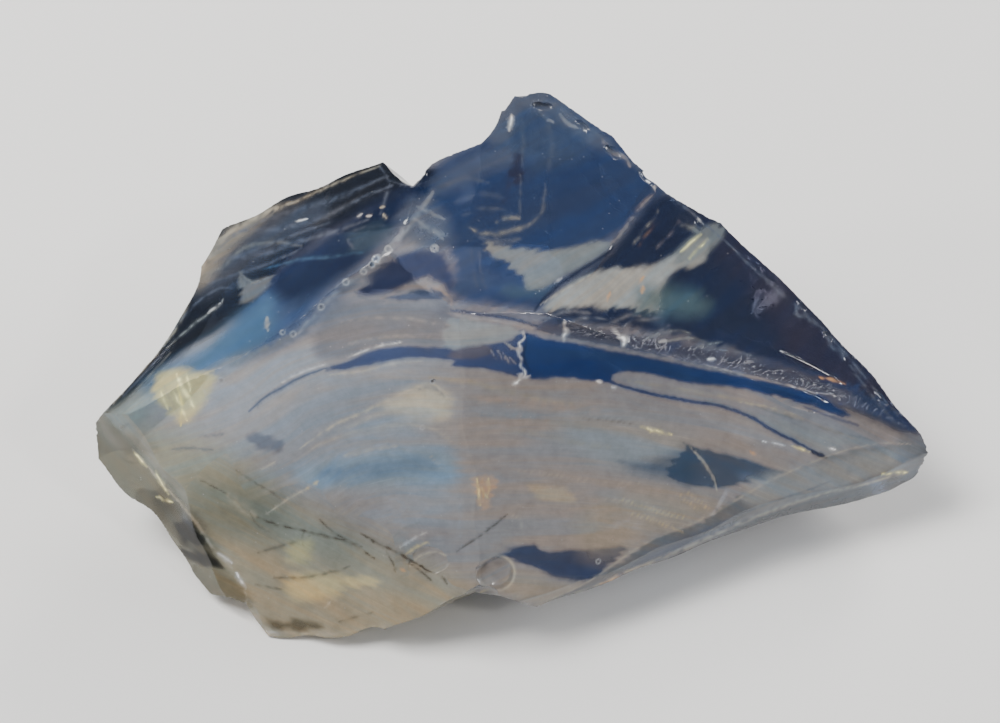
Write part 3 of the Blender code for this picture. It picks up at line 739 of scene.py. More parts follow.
    "darkPatchLow": ("oliveDark", 0.7, 0.5, (
        (-29.5, -30.9), (-27.2, -31.3), (-25.3, -30.9), (-22.3, -31.9), (-25.4, -32.6), (-26.8, -32.0),
        (-28.8, -32.3))),
    "greyPatch": ("smoke", 0.3, 0.6, ((-45, -8.5), (-42.5, -8.9), (-42.3, -10.4), (-44.7, -10.5))),
    "bevel": ("bevel", 0.85, 0.3, (
        (4.3, -29.6), (9.9, -26.0), (17.2, -21.3), (23.4, -18.9), (30.5, -14.9), (38.7, -11.3),
        (44.9, -9.8), (50.2, -9.8), (54, -11), (52, -16), (40.9, -18), (31, -21), (22.3, -26),
        (13.6, -30))),
    "bevelBlue": ("bevelBlue", 0.7, 0.8, (
        (11.2, -26.6), (17.2, -22.8), (23.4, -20.4), (28.2, -19.1), (23.5, -21.5), (17.3, -24.3))),
    "bevelPale": ("steel", 0.75, 1.0, (
        (30, -13.6), (38.7, -11.6), (45, -10.2), (50, -10.4), (49, -12.6), (44, -14.2), (36, -16.2),
        (30, -17.5))),
    "lowLeftShade": ("smokeGreen", 0.7, 3.0, (
        (-39, -13.6), (-33, -13.2), (-28, -16.5), (-29, -20), (-34, -20.5), (-38, -18))),
    # partly painted shade: over the glass's own greenish colour, the next three olive patches darken the
    # left chamfer, which is turned from the light, most on its lower part
    "chamferHigh": ("olive", 0.85, 0.8, (
        (-53, -7), (-50, -5.6), (-45.8, -9), (-43, -12.6), (-40.4, -15.6), (-42.5, -19), (-47, -17),
        (-53, -12))),
    "chamferLow": ("oliveDark", 0.8, 1.0, (
        (-43, -15), (-40.5, -15.5), (-37.6, -18.9), (-34.8, -23.4), (-34.6, -25), (-37.6, -24),
        (-41, -21), (-44, -18))),
    "chamferFoot": ("olive", 0.7, 0.8, (
        (-39, -24.6), (-35, -25), (-32.6, -26.4), (-31.4, -29.4), (-36, -29.5), (-40, -27))),
    # painted shade: two near-black patches where a dark background shows through the clear glass
    "paintedDarkHigh": ("nearBlack", 0.85, 0.35, (
        (-40.4, -18.9), (-38.6, -18.6), (-37.4, -20.2), (-36.6, -21.6), (-38.6, -22), (-40, -21))),
    "paintedDarkLow": ("nearBlack", 0.85, 0.35, (
        (-39.8, -22.6), (-38, -23.2), (-36.6, -23), (-35, -23.9), (-34.9, -24.8), (-37.4, -24.6),
        (-39.6, -23.9))),
    "tipBlue": ("tipBlue", 0.8, 1.0, (
        (48.2, -9.0), (51.6, -9.4), (53, -12.3), (49.2, -14), (47.7, -11))),
}

# Lines of these tints run on without gaps.
lineTints = ("darkLine", "navy", "deepNavy", "midBlue")

# Lines and glints: the tint, its strength, half its width, how far it stands out of the glass (or is sunk
# in it), all in millimetres, and its points.
lines = {
    # painted highlights: a cream line of light along the wing's rim, and a broader glow inside it
    "wingRim": ("cream", 0.45, 0.22, 0.0, (
        (-48, -4.6), (-46.1, -2.2), (-42.6, 1.9), (-40.2, 5.4), (-38.8, 10.1), (-36.6, 14.9),
        (-34.1, 16.8), (-30.2, 18.8), (-25, 20.6), (-20.4, 22.5), (-15.5, 24.2))),
    "wingGlow": ("cream", 0.35, 0.7, 0.0, (
        (-38.6, 10.4), (-36.5, 14.4), (-32.9, 17.6), (-29.8, 19.0), (-27.3, 19.8))),
    "wingArcA": ("haze", 0.65, 0.3, 0.02, (
        (-35.8, 14.5), (-33.2, 16.6), (-28.5, 16.7), (-22.9, 17.9), (-17.5, 20.3), (-13.9, 21.6))),
    "wingArcB": ("veilAndSheen", 0.45, 0.28, 0.02, (
        (-38, 11.2), (-35.1, 12.2), (-32.4, 14.6), (-28.4, 15.1), (-25, 14.5))),
    "wingArcC": ("haze", 0.55, 0.22, 0.02, (
        (-36.9, 10.1), (-33.8, 11.1), (-29.4, 12.4), (-25.5, 13.9), (-25, 14.4))),
    "wingArcD": ("haze", 0.6, 0.3, 0.02, (
        (-33.9, 13.3), (-29.8, 13.7), (-26.7, 14.7), (-20.2, 16.3), (-16.7, 17.5))),
    "wingArcE": ("lightBlue", 0.6, 0.2, 0.02, (
        (-29.7, 11.8), (-25.4, 12.8), (-21.4, 13), (-17.1, 13.5))),
    "wingArcF": ("haze", 0.5, 0.22, 0.02, ((-36.3, 12.8), (-31.7, 14), (-26.5, 15.8), (-21.5, 17.4))),
    "wingArcG": ("haze", 0.5, 0.35, 0.02, (
        (-34.9, 15.6), (-30.3, 17.8), (-25.4, 19.1), (-20.3, 20.6), (-14.9, 22.7))),
    "patchEdge": ("veilAndSheen", 0.6, 0.16, 0.03, ((-32.8, 11.4), (-31, 10.2), (-28.5, 10.9))),
    "tealEdgeA": ("haze", 0.5, 0.16, 0.0, ((-19.2, 15.1), (-18.4, 13.9))),
    "tealEdgeB": ("haze", 0.5, 0.18, 0.0, ((-19, 16), (-16.9, 16.6), (-14.7, 16.7))),
    "spurA": ("haze", 0.7, 0.14, 0.0, (
        (-15.5, 24.2), (-14.7, 23), (-13.9, 22.1), (-10.9, 21.6), (-10.1, 22.3))),
    "spurB": ("haze", 0.6, 0.14, 0.0, ((-14.2, 21.9), (-14.8, 19.3), (-15.2, 18.1))),
    "wingLowA": ("haze", 0.6, 0.18, 0.03, (
        (-42.4, 2.6), (-40, 5.8), (-37.7, 8.2), (-35.4, 9.5), (-33.7, 9.5))),
    "wingLowB": ("veilAndSheen", 0.8, 0.16, 0.03, ((-41.6, 2.1), (-38.5, 5), (-35.2, 7.3), (-34.7, 8.2))),
    "wingLowC": ("veilAndSheen", 0.7, 0.16, 0.03, ((-47.4, -3.2), (-44.5, 0.2), (-42.5, 1.8))),
    "wingLowD": ("haze", 0.6, 0.16, 0.03, ((-46.8, -3.7), (-43.7, -0.3), (-41.9, 1.7))),
    "wingLowE": ("veilAndSheen", 0.5, 0.16, 0.03, ((-46.1, -4), (-43.1, -0.7), (-41.1, 1.6))),
    "wingPatchRim": ("haze", 0.5, 0.18, 0.0, ((-32.5, 8), (-31.7, 9.2), (-29.9, 10.3), (-28.2, 11))),
    "wingWhite": ("white", 0.8, 0.14, 0.05, ((-36.6, 6.5), (-35, 7.7))),
    "crestHaze": ("haze", 0.8, 0.8, 0.0, (
        (-29.3, 1.9), (-25, 3.7), (-22.1, 6.9), (-19.1, 9.7), (-17.1, 11), (-15.9, 11.8), (-14.1, 13.8),
        (-12.7, 15.3), (-11.3, 17), (-8.9, 20.7))),
    "crestPale": ("lilacBlue", 0.5, 0.35, 0.04, (
        (-25, 3.7), (-22.1, 6.9), (-19.1, 9.7), (-15.9, 11.8), (-14.1, 13.8), (-11.3, 17),
        (-8.9, 20.7))),
    "crestLow": ("veilAndSheen", 0.5, 0.5, 0.02, ((-35.1, -1.9), (-32, 0.5), (-29.3, 1.9), (-25, 3.7))),
    "paleSmear": ("cream", 0.5, 0.3, 0.0, ((-28.7, 4.2), (-28.9, 5.8))),
    # painted reflections: swirls of light on the high face
    "swirlHighA": ("lilacBlue", 0.6, 0.24, 0.03, ((-10.8, 18.9), (-8.5, 17.8), (-7.5, 17.4))),
    "swirlHighB": ("lilacBlue", 0.5, 0.24, 0.03, ((-11, 17.4), (-9.5, 16.3), (-7.5, 14.9))),
    "swirlHighC": ("lilacBlue", 0.4, 0.2, 0.03, ((-10.4, 16.5), (-8.3, 15.8), (-7.1, 15.4))),
    "arch": ("pinkLine", 0.85, 0.22, 0.06, (
        (-15.1, 7.9), (-13.4, 8.6), (-11.4, 9.4), (-9.1, 9.4), (-6.9, 8.2), (-6.7, 7.2))),
    "archFoot": ("haze", 0.6, 0.16, 0.03, ((-17.9, 8.6), (-16.6, 7.9), (-14.6, 7.6))),
    "lilacTop": ("lilacLine", 0.85, 0.24, 0.06, ((-6.7, 7.3), (-2.8, 6.9), (0.3, 6.4), (3.9, 5.1))),
    # painted shadow: the dark line under the raised lilac lip
    "lilacDark": ("navy", 0.85, 0.26, -0.05, ((-6.5, 6.6), (-2.8, 6.1), (0.3, 5.6), (3.7, 4.6))),
    "lilacLow": ("pinkLine", 0.75, 0.18, 0.05, (
        (-6.9, 6.4), (-6.2, 5.8), (-2.8, 5.4), (0.3, 4.9), (3.2, 4.2), (5.4, 3.7))),
    "flowA": ("haze", 0.35, 0.14, -0.015, ((-20.2, 6.2), (-15.6, 6.8), (-11.5, 6.6), (-6.9, 6.2))),
    "flowB": ("cream", 0.22, 0.14, 0.015, ((-20.5, 5.2), (-15.6, 5.7), (-11.5, 5.5), (-6.9, 4.8))),
    "flowC": ("haze", 0.4, 0.16, -0.015, ((-20.2, 3.9), (-15.1, 4.7), (-10.4, 4.2), (-6.8, 3.5))),
    "flowD": ("cream", 0.22, 0.16, 0.015, ((-19.3, 2.5), (-15.6, 3.3), (-12.3, 3.5), (-9.2, 3.3))),
    "flowE": ("haze", 0.3, 0.14, 0.0, ((-21.1, 1.7), (-17.5, 2.4), (-12.7, 2.6))),
    "upA": ("haze", 0.6, 0.14, 0.02, ((1.5, 23), (1.5, 20.4), (1.5, 17.6))),
    "upB": ("haze", 0.7, 0.16, 0.02, ((4.5, 22.0), (4.3, 19.6), (3.6, 17.8), (2.4, 16.6))),
    "upC": ("haze", 0.4, 0.25, 0.0, ((1.7, 30), (1.8, 27), (1.7, 24))),
    "upD": ("haze", 0.3, 0.35, 0.0, ((4.6, 30), (5.4, 27), (4.9, 23.5))),
    "upE": ("violet", 0.4, 0.25, 0.0, ((-0.6, 19.3), (0, 21.1), (0.3, 23.6))),
    # painted reflections: swirls of light on the upper face
    "swirlA": ("veilAndSheen", 0.8, 0.28, 0.03, (
        (-4.5, 16.4), (-2.9, 15.8), (-0.8, 15.8), (1.2, 16.4), (2.6, 17.0))),
    "swirlB": ("haze", 0.7, 0.35, 0.02, ((-3.3, 15.2), (-0.9, 14.8), (1.4, 15.2))),
    "swirlC": ("veilAndSheen", 0.75, 0.28, 0.03, ((-1.4, 17.1), (0, 17.7), (1.4, 17.6))),
    "swirlD": ("haze", 0.6, 0.2, 0.02, ((1.3, 16.1), (2.6, 16.9), (3.9, 18.2), (4.5, 19.3))),
    "shoulderA": ("haze", 0.5, 0.25, 0.0, ((-7.9, 21.4), (-5, 22.4), (-2.4, 22.0))),
    "shoulderB": ("haze", 0.4, 0.3, 0.0, ((-6.4, 19.4), (-3.2, 20.6), (-0.6, 20.2))),
    "shoulderC": ("haze", 0.45, 0.25, 0.0, ((-5.4, 17.9), (-3.0, 18.8), (-0.2, 18.7))),
    "fallA": ("haze", 0.35, 0.12, 0.0, ((-4.4, 13.8), (-4, 10.8), (-3.5, 9))),
    "fallB": ("haze", 0.3, 0.12, 0.0, ((-3.4, 13.5), (-3.2, 11.1), (-2.6, 9.2))),
    "facetLine": ("pinkLine", 0.85, 0.22, 0.05, (
        (18, 21.1), (16.5, 19.7), (14.9, 17.6), (13.7, 15.9), (12.2, 14.7))),
    "facetDark": ("darkLine", 0.9, 0.3, -0.06, (
        (12.7, 14.4), (11.7, 13.4), (8.9, 11.6), (6, 9.6), (4, 7.6), (3.2, 6.5))),
    # painted highlight: a short bright line on the facet
    "facetBright": ("white", 0.8, 0.13, 0.0, ((5.5, 9.9), (6.4, 10.5))),
    "hairA": ("orange", 0.15, 0.11, 0.0, ((15.8, 14.6), (17.2, 16.5), (18.6, 18))),
    "hairB": ("cream", 0.28, 0.11, 0.0, ((15.2, 14.9), (16.8, 16.8), (18.4, 18.9))),
    "hairC": ("lilacLine", 0.4, 0.11, 0.0, ((17.9, 14.3), (19.6, 16), (21, 17.6))),
    # painted glints: bright streaks of light near the right top rim, with a paler sheen beside them
    "brightA": ("ray", 1.0, 0.2, 0.02, ((21.0, 13.9), (22.3, 15), (23.6, 16.0))),
    "brightB": ("ray", 1.0, 0.16, 0.02, ((22.0, 13.1), (23.4, 14.4), (24.5, 15.5))),
    "brightC": ("veilAndSheen", 0.6, 0.16, 0.0, ((19.6, 12.4), (21.6, 13.0), (23.6, 14.4))),
    "facetLow": ("cream", 0.6, 0.14, 0.0, ((3.9, 7.2), (6.9, 9.2), (9.8, 10.9))),
    # the fissure is a real crack in relief, but its white and cream are painted highlights, its dots
    # painted glints and its dark line painted shade
    "fissure": ("white", 0.9, 0.14, 0.12, (
        (1.8, 4.2), (1.9, 3.3), (1.3, 2.7), (1.6, 2.0), (1.3, 1.4), (1.6, 0.8), (1.5, 0.0), (2.1, -0.6),
        (1.9, -1.3), (0.9, -2.0))),
    "fissureDotA": ("white", 1.0, 0.26, 0.12, ((1.7, 4.2), (1.8, 3.8))),
    "fissureDotB": ("white", 1.0, 0.28, 0.12, ((1.4, 2.3), (1.3, 1.7))),
    "fissureDotC": ("white", 1.0, 0.28, 0.12, ((1.7, -0.9), (1.4, -1.4))),
    "fissureDotD": ("white", 1.0, 0.3, 0.12, ((1.1, -2.0), (0.6, -2.2))),
    "fissureShade": ("darkLine", 0.7, 0.16, -0.05, ((2.3, 3.4), (1.9, 1.8), (2.0, 0.4), (2.7, -0.6))),
    "fissureLeft": ("cream", 0.7, 0.12, 0.04, ((1.5, 1.9), (0.6, 2.2), (-0.4, 2.7))),
    "fissureFoot": ("white", 0.8, 0.18, 0.08, ((1.1, -1.7), (1.9, -1.4), (2.6, -1.2))),
    "combA": ("warmGrey", 0.7, 0.12, 0.0, ((-2.0, 1.9), (-1.4, 0.9))),
    "combB": ("warmGrey", 0.7, 0.12, 0.0, ((-1.2, 1.9), (-0.6, 0.7))),
    "combC": ("warmGrey", 0.7, 0.12, 0.0, ((-0.5, 1.6), (0.2, 0.4))),
    "combD": ("warmGrey", 0.7, 0.12, 0.0, ((0.2, 1.1), (1.0, 0.2))),
    "ribTan": ("lilac", 0.9, 0.2, 0.03, (
        (1.8, 4.1), (6.9, 3.2), (13.4, 1.9), (18.3, 1), (23.2, 0), (28.1, -1), (33.1, -2.1),
        (38.1, -3.5))),
    # white on the rib: partly frosty crumbs of glass, partly painted glints
    "ribWhiteA": ("white", 1.0, 0.26, 0.16, (
        (6.75, 5.2), (6.6, 4.6), (7.1, 4.1), (6.7, 3.6), (6.75, 3.1))),
    "ribWhiteB": ("white", 1.0, 0.42, 0.16, ((13.3, 3.3), (13.9, 3.2), (13.8, 2.5))),
    "ribWhiteC": ("white", 1.0, 0.2, 0.1, ((24.1, 0.8), (25.0, 0.8))),
    "ribWhiteD": ("veilAndSheen", 0.8, 0.16, 0.08, ((9.4, 3.9), (10.2, 4.2), (11.2, 3.9))),
    "ribWhiteE": ("white", 0.9, 0.16, 0.12, ((12.5, 4.6), (12.9, 4.0), (13.3, 3.6))),
    "ribWhiteF": ("white", 0.9, 0.18, 0.1, ((18.2, 2.9), (19.0, 3.0))),
    "bandDotA": ("white", 0.9, 0.2, 0.08, ((10.6, -1.8), (11.2, -2.0))),
    "bandDotB": ("white", 0.7, 0.18, 0.06, ((12.4, -2.5), (12.9, -2.6))),
    "featherH": ("lilacDim", 0.8, 0.22, 0.05, ((4.1, 5.2), (5.9, 6.2), (7.8, 6.5), (9.9, 6.2))),
    "featherI": ("lilacDim", 0.8, 0.22, 0.05, ((12, 4.9), (13, 5.4), (14.3, 6.0), (15.9, 6.0))),
    "featherA": ("veilAndSheen", 0.75, 0.16, 0.04, ((15.8, 2.9), (17.3, 3.6), (18.7, 4), (20.4, 4.3), (22, 4))),
    "featherB": ("veilAndSheen", 0.75, 0.16, 0.04, ((17, 2.4), (19.3, 3), (22, 3.4), (24.2, 2.7))),
    "featherC": ("lilacDim", 0.8, 0.16, 0.04, ((23.2, 1.9), (25.7, 1.9), (28.2, 1.5), (29.7, 1.2))),
    "featherD": ("veilAndSheen", 0.7, 0.14, 0.04, ((22, 1.9), (23.8, 2.5), (26, 2.9))),
    "featherE": ("lilacDim", 0.8, 0.22, 0.04, ((6.2, 4.6), (8, 5.4), (9.8, 5.7), (11.6, 5.5))),
    "featherF": ("lilacDim", 0.8, 0.18, 0.04, ((13.7, 4.7), (14.9, 5.3), (16.6, 5.6), (18.3, 5.8))),
    "featherG": ("lilacDim", 0.7, 0.18, 0.04, ((17.4, 3.0), (18.2, 4.2), (19.4, 4.9))),
    "orangeRim": ("orange", 0.95, 0.2, 0.04, ((38.2, -1.4), (39.7, -1.7), (41.3, -2.2))),
    "curve": ("deepNavy", 1.0, 0.26, -0.07, (
        (10.8, -1.5), (12.4, -1.95), (13.6, -2.35), (15.9, -2.95), (19.1, -3.7), (22.2, -4.3),
        (24.9, -4.65), (27.0, -5.25), (29.6, -6.3), (32.6, -8.0), (35.9, -9.7), (38.8, -11.1))),
    "curveEnd": ("darkLine", 0.9, 0.3, -0.05, ((37.2, -10.5), (39.0, -11.2))),
    # painted darkness: the band's tails, like the band
    "bandTailA": ("deepNavy", 0.8, 0.28, 0.0, ((33, -3.4), (37.6, -4.8), (41.0, -6.2))),
    "bandTailB": ("deepNavy", 0.6, 0.2, 0.0, ((36, -4.9), (40, -6.4), (43, -7.3))),
    "lensLight": ("cream", 0.6, 0.12, 0.0, ((28.2, -4.4), (31.2, -4.9), (35.0, -5.9))),
    "lensTan": ("tan", 0.5, 0.25, 0.0, (
        (14.4, -1.7), (18.3, -2.4), (25.6, -3.6), (33.1, -5.6), (39.4, -7.8), (43.2, -9.1))),
    "lensStreakA": ("blueGrey", 0.5, 0.25, 0.0, (
        (15.8, -2.3), (20.8, -3.2), (25.6, -4.5), (31.2, -6.4))),
    "lensStreakB": ("bevel", 0.5, 0.2, 0.0, ((30, -4.9), (35, -6.5), (40, -8.0), (45, -9.2))),
    "glintA": ("ray", 1.0, 0.22, 0.0, ((15.9, -7.3), (17.7, -7.7), (19.8, -8.3))),
    "glintATop": ("cream", 0.9, 0.12, 0.0, ((16.1, -7.1), (18.0, -7.6))),
    "glintTail": ("smoke", 0.35, 0.14, 0.0, ((8.6, -6.2), (12.2, -6.6), (15.8, -7.0))),
    "glintB": ("white", 1.0, 0.14, 0.0, ((30.9, -9.1), (32.5, -9.4), (33.8, -9.7))),
    "glintC": ("ray", 1.0, 0.16, 0.0, ((34.8, -9.8), (36.9, -10.5))),
    "glintD": ("ray", 1.0, 0.18, 0.0, ((-3.2, -14.3), (-2.4, -15.7))),
    # the embers are painted glints: streaks of gold and orange light
    "emberA": ("gold", 1.0, 0.16, 0.0, ((-3.6, -13.3), (-3.5, -14.8), (-3.3, -16.6))),
    "emberB": ("orange", 0.8, 0.14, 0.0, ((-3.0, -13.3), (-2.9, -14.6), (-2.9, -16.0))),
    "emberC": ("gold", 0.8, 0.14, 0.0, ((-2.3, -13.3), (-2.2, -14.3), (-2.3, -15.2))),
    "glintE": ("orange", 1.0, 0.22, 0.0, ((11.2, -26.5), (12.6, -26.0), (14, -25.3))),
    "glintF": ("ray", 1.0, 0.22, 0.0, ((46.1, -13.3), (48, -13.2), (49.6, -13.2))),
    "glintG": ("white", 1.0, 0.15, 0.0, ((39.2, -10), (40.2, -10.3))),
    "warmA": ("gold", 0.4, 0.16, 0.0, ((13.9, -16.2), (18.4, -17.7), (22.2, -18.7))),
    "warmB": ("gold", 0.4, 0.16, 0.0, ((14.5, -17.8), (17.8, -18.7), (21.4, -20.3))),
    "warmC": ("cream", 0.3, 0.14, 0.0, ((11.1, -16.1), (16, -16.6), (19.7, -18.1))),
    "warmD": ("gold", 0.4, 0.12, 0.0, ((20.6, -15.6), (22.2, -16.8), (23.4, -17.8))),
    "warmE": ("gold", 0.4, 0.12, 0.0, ((21.8, -15.4), (23.4, -16.6), (24.6, -17.4))),
    "tanStreakA": ("tan", 0.5, 0.35, 0.0, (
        (-9.2, -1.3), (-4.5, -1.9), (0.2, -3.1), (3.8, -4), (8.6, -4.5))),
    "tanStreakB": ("orange", 0.14, 0.5, 0.0, ((-3.3, -4), (1.4, -4.3), (6.2, -4.8), (11, -5.5))),
    "tanStreakC": ("blueGrey", 0.5, 0.5, 0.0, ((-3, -5.8), (1.4, -6.0), (6.2, -6.8), (12, -7.9))),
    "tanStreakD": ("tan", 0.35, 0.3, 0.0, ((-0.9, -7.6), (3.8, -8.1), (8.6, -9.3), (13.5, -9.9))),
    "tanStreakE": ("cream", 0.3, 0.14, 0.0, ((1.4, -12.4), (6.2, -13.2), (11.1, -14), (15.9, -14.2))),
    "arcPale": ("cream", 0.75, 0.15, 0.03, ((21.9, -9.7), (23.9, -11.8), (25.1, -13.9), (25.5, -15.2))),
    # painted highlight: a bright line along the top of the arch and a paler light below it, with painted
    # shade under its right end
    "archTop": ("cream", 0.85, 0.18, 0.03, (
        (-24.9, -9.9), (-20.4, -6.9), (-15, -4.5), (-11.1, -2.6), (-9.1, -2.1), (-7.2, -3.3))),
    "archShade": ("midBlue", 0.35, 0.16, 0.0, ((-10.4, -2.7), (-8.8, -2.6), (-7.4, -3.7))),
    "archLow": ("cream", 0.35, 0.25, 0.02, ((-20.4, -7.9), (-15, -5.5), (-10.4, -4.5), (-7.5, -5.2))),
    "frontArcB": ("cream", 0.3, 0.22, 0.0, (
        (-23.7, -10), (-18.8, -7.9), (-12.8, -6.9), (-8.1, -7.8), (-6.2, -9.7))),
    "pearls": ("cream", 0.4, 0.25, 0.0, ((-19.5, -10.6), (-17.6, -10.3), (-15.8, -9.9), (-13.4, -9.6))),
    "seam": ("lilacBlue", 0.35, 0.3, 0.02, (
        (-6.3, -3.1), (-6.2, -7.6), (-6.1, -12.4), (-5.8, -17.1), (-5.6, -21.4))),
    "crackGrey": ("smoke", 0.75, 0.14, -0.05, (
        (-6.1, -22.2), (-3.6, -20.5), (-1.5, -18.9), (0, -17.6))),
    "crackPale": ("cream", 0.35, 0.16, 0.0, ((0, -17.6), (1.2, -18.2), (1.9, -19.4))),
    # the impact pit's arcs are real ripples; their gold, white and cream are partly painted glints
    "impactA": ("gold", 0.8, 0.18, 0.05, ((-12.2, -22.5), (-11.1, -21.8), (-9.7, -21.1))),
    "impactB": ("white", 0.5, 0.14, 0.05, ((-12.9, -21.8), (-11.2, -20.6), (-9.6, -19.8))),
    "impactC": ("cream", 0.6, 0.16, 0.05, ((-11.8, -24), (-10.6, -22.8), (-8.6, -22.3), (-7.3, -22.7))),
    "impactD": ("veilAndSheen", 0.5, 0.16, 0.05, ((-14.4, -21.5), (-12.9, -19.6), (-10.5, -18.6))),
    "thinBlue": ("midBlue", 0.8, 0.22, -0.03, (
        (-31, -5.4), (-29.1, -3.8), (-26.7, -2.4), (-24.7, -1.4), (-21.5, -0.2))),
    "bandHighlight": ("white", 0.8, 0.13, 0.05, ((-26.9, -1.9), (-24.6, -0.8), (-21.7, 0.2))),
    "bandHighlightB": ("white", 0.7, 0.12, 0.05, ((-19.0, 1.0), (-15.6, 2.3), (-12.3, 2.8))),
    "bandLip": ("cream", 0.5, 0.16, 0.02, ((-21.0, -1.0), (-17.0, -0.5), (-13.5, 0.3), (-10.1, 0.6))),
    "thinNavyA": ("midBlue", 0.5, 0.16, 0.0, ((-40.6, -10), (-38.3, -9.8), (-35.5, -10.1))),
    "thinNavyB": ("midBlue", 0.4, 0.16, 0.0, ((-37.1, -8.5), (-34.2, -8.2))),
    # painted light: rays fanning down from the yellow glow
    "fanA": ("ray", 1.0, 0.34, 0.0, ((-40.0, -1.0), (-39.2, -2.4), (-38.4, -3.8), (-37.7, -5.0))),
    "fanB": ("ray", 0.9, 0.2, 0.0, ((-40.1, -3.0), (-39.3, -4.9), (-38.6, -6.6))),
    "fanC": ("ray", 0.7, 0.2, 0.0, ((-41.8, -3.0), (-41.3, -4.2), (-40.9, -5.2))),
    "fanE": ("ray", 0.9, 0.18, 0.0, ((-38.6, -0.9), (-38.3, -2.0), (-38.1, -3.0))),
    "fanF": ("glow", 0.8, 0.18, 0.0, ((-39.7, -2.2), (-39.2, -4.6), (-39.4, -7.2))),
    "fanG": ("cream", 0.6, 0.16, 0.0, ((-36.8, -2.6), (-36.2, -3.4), (-35.9, -4.4))),
    "rimEdgeA": ("haze", 0.8, 0.2, 0.03, (
        (8.2, 30.3), (12.4, 27.0), (17.4, 22.8), (22.3, 18.8), (27.2, 14.8))),
    "rimEdgeB": ("haze", 0.8, 0.18, 0.03, (
        (27.2, 14.8), (32.0, 10.2), (35.8, 7.1), (40.0, 3.2), (44.2, -1.7), (48.0, -6.0))),
    "rimMarkA": ("lilac", 0.9, 0.3, 0.05, ((11.6, 27.3), (12.8, 26.0), (14.3, 25.5), (14.9, 24.3))),
    "rimMarkB": ("veilAndSheen", 0.9, 0.4, 0.05, ((21.3, 17.0), (22.4, 16.9), (23.3, 16.2))),
    "rimMarkC": ("haze", 0.9, 0.26, 0.05, ((35.4, 7.2), (35.6, 6.2), (36.8, 6.0), (37.2, 5.4))),
    "rimMarkD": ("haze", 0.9, 0.26, 0.05, ((39.3, 3.5), (39.8, 2.3), (40.9, 1.7), (41.4, 0.6))),
    "peakMarkA": ("lilacBlue", 0.8, 0.22, 0.05, ((3.9, 31.0), (4.6, 30.2), (5.5, 29.6))),
    "peakMarkB": ("lilacBlue", 0.8, 0.22, 0.05, ((6.3, 30.6), (7.2, 29.5), (8.4, 29.0))),
    "peakMarkC": ("haze", 0.9, 0.3, 0.05, ((1.2, 31.8), (3.2, 32.2), (5.6, 31.8), (8.0, 30.0))),
    "crumbA": ("nearBlack", 0.6, 0.12, 0.0, ((-48.2, -10.6), (-46.6, -11.6), (-45.4, -11.8))),
    "crumbB": ("nearBlack", 0.6, 0.13, 0.0, ((-46.9, -13.2), (-45.6, -13.4), (-44.6, -14.4))),
    "crumbC": ("nearBlack", 0.6, 0.12, 0.0, ((-45.3, -12.4), (-44.4, -12.9), (-43.9, -13.8))),
    # painted light: one more ray of the fan
    "fanD": ("tan", 0.5, 0.2, 0.0, ((-41.6, -2.2), (-40.7, -3.8), (-39.6, -6.2))),
    "creamLine": ("cream", 0.8, 0.14, 0.02, ((-28.9, -17.7), (-26.2, -15.9), (-22.6, -13.7))),
    "creamEnd": ("gold", 0.7, 0.22, 0.0, ((-24.2, -14.6), (-22.8, -13.7))),
    "creamDot": ("cream", 0.6, 0.16, 0.0, ((-29.5, -12.5), (-27.9, -11.5))),
    # painted highlights: a cream line of light along the left crest, and glints on it below
    "leftCrest": ("cream", 0.5, 0.2, 0.04, (
        (-45.6, -10.2), (-43.4, -12.7), (-40.9, -15.5), (-38.1, -18.8), (-35.7, -22.4), (-32.7, -25.6),
        (-31.8, -28.7))),
    "goldA": ("ray", 1.0, 0.18, 0.0, ((-45.5, -10.5), (-44, -12.3))),
    "goldB": ("ray", 1.0, 0.24, 0.0, ((-42.8, -12.8), (-41.4, -15.6))),
    "goldC": ("ray", 1.0, 0.22, 0.0, ((-42.9, -16), (-40.9, -16.6))),
    "goldD": ("white", 1.0, 0.24, 0.05, ((-35.3, -22.7), (-33.6, -23.9))),
    "goldE": ("white", 1.0, 0.2, 0.0, ((-33.1, -25.1), (-31.9, -27.1))),
    "crackMain": ("brown", 0.75, 0.16, -0.03, (
        (-37.2, -13.8), (-33.4, -15.8), (-31.5, -17.5), (-28.3, -19), (-24.6, -19.9), (-20.8, -20.7),
        (-18.1, -21.7), (-16.1, -23.1))),
    "crackWide": ("tan", 0.7, 0.6, 0.0, ((-33.8, -15.6), (-32.2, -17.0), (-30.5, -18.0))),
    "crackB": ("brown", 0.7, 0.15, -0.02, ((-22.7, -18.5), (-20.8, -20.1), (-17.6, -21.7))),
    "crackC": ("brown", 0.95, 0.18, -0.04, (
        (-17.7, -20.1), (-15.6, -21.3), (-13.9, -22.1), (-11.3, -23.5), (-9.2, -24.7))),
    "crackD": ("brown", 0.7, 0.13, -0.02, ((-14.6, -22.1), (-13.9, -23.5), (-13.5, -24.8))),
    "crackE": ("brown", 0.85, 0.15, -0.02, ((-11.8, -23.6), (-10.3, -24.7), (-9.2, -25.7))),
    "crackF": ("brown", 0.8, 0.16, -0.02, ((-7.8, -25.2), (-7.3, -26.1))),
    "crackG": ("smoke", 0.5, 0.24, 0.0, (
        (-30.3, -22.6), (-27.1, -21.7), (-24.9, -21.1), (-23.9, -20.5))),
    "crackH": ("smoke", 0.5, 0.13, 0.0, ((-31.6, -13.5), (-28.9, -14.9), (-27.4, -16.1))),
    "crackI": ("smoke", 0.45, 0.12, 0.0, ((-32.7, -12.5), (-29.8, -14.4))),
    "crackJ": ("smoke", 0.6, 0.22, 0.0, (
        (-28.4, -25.8), (-24.7, -25.6), (-20.9, -24.9), (-19.1, -24.2))),
    "crackK": ("smoke", 0.6, 0.16, 0.0, ((-30.8, -26.6), (-27.2, -27.3))),
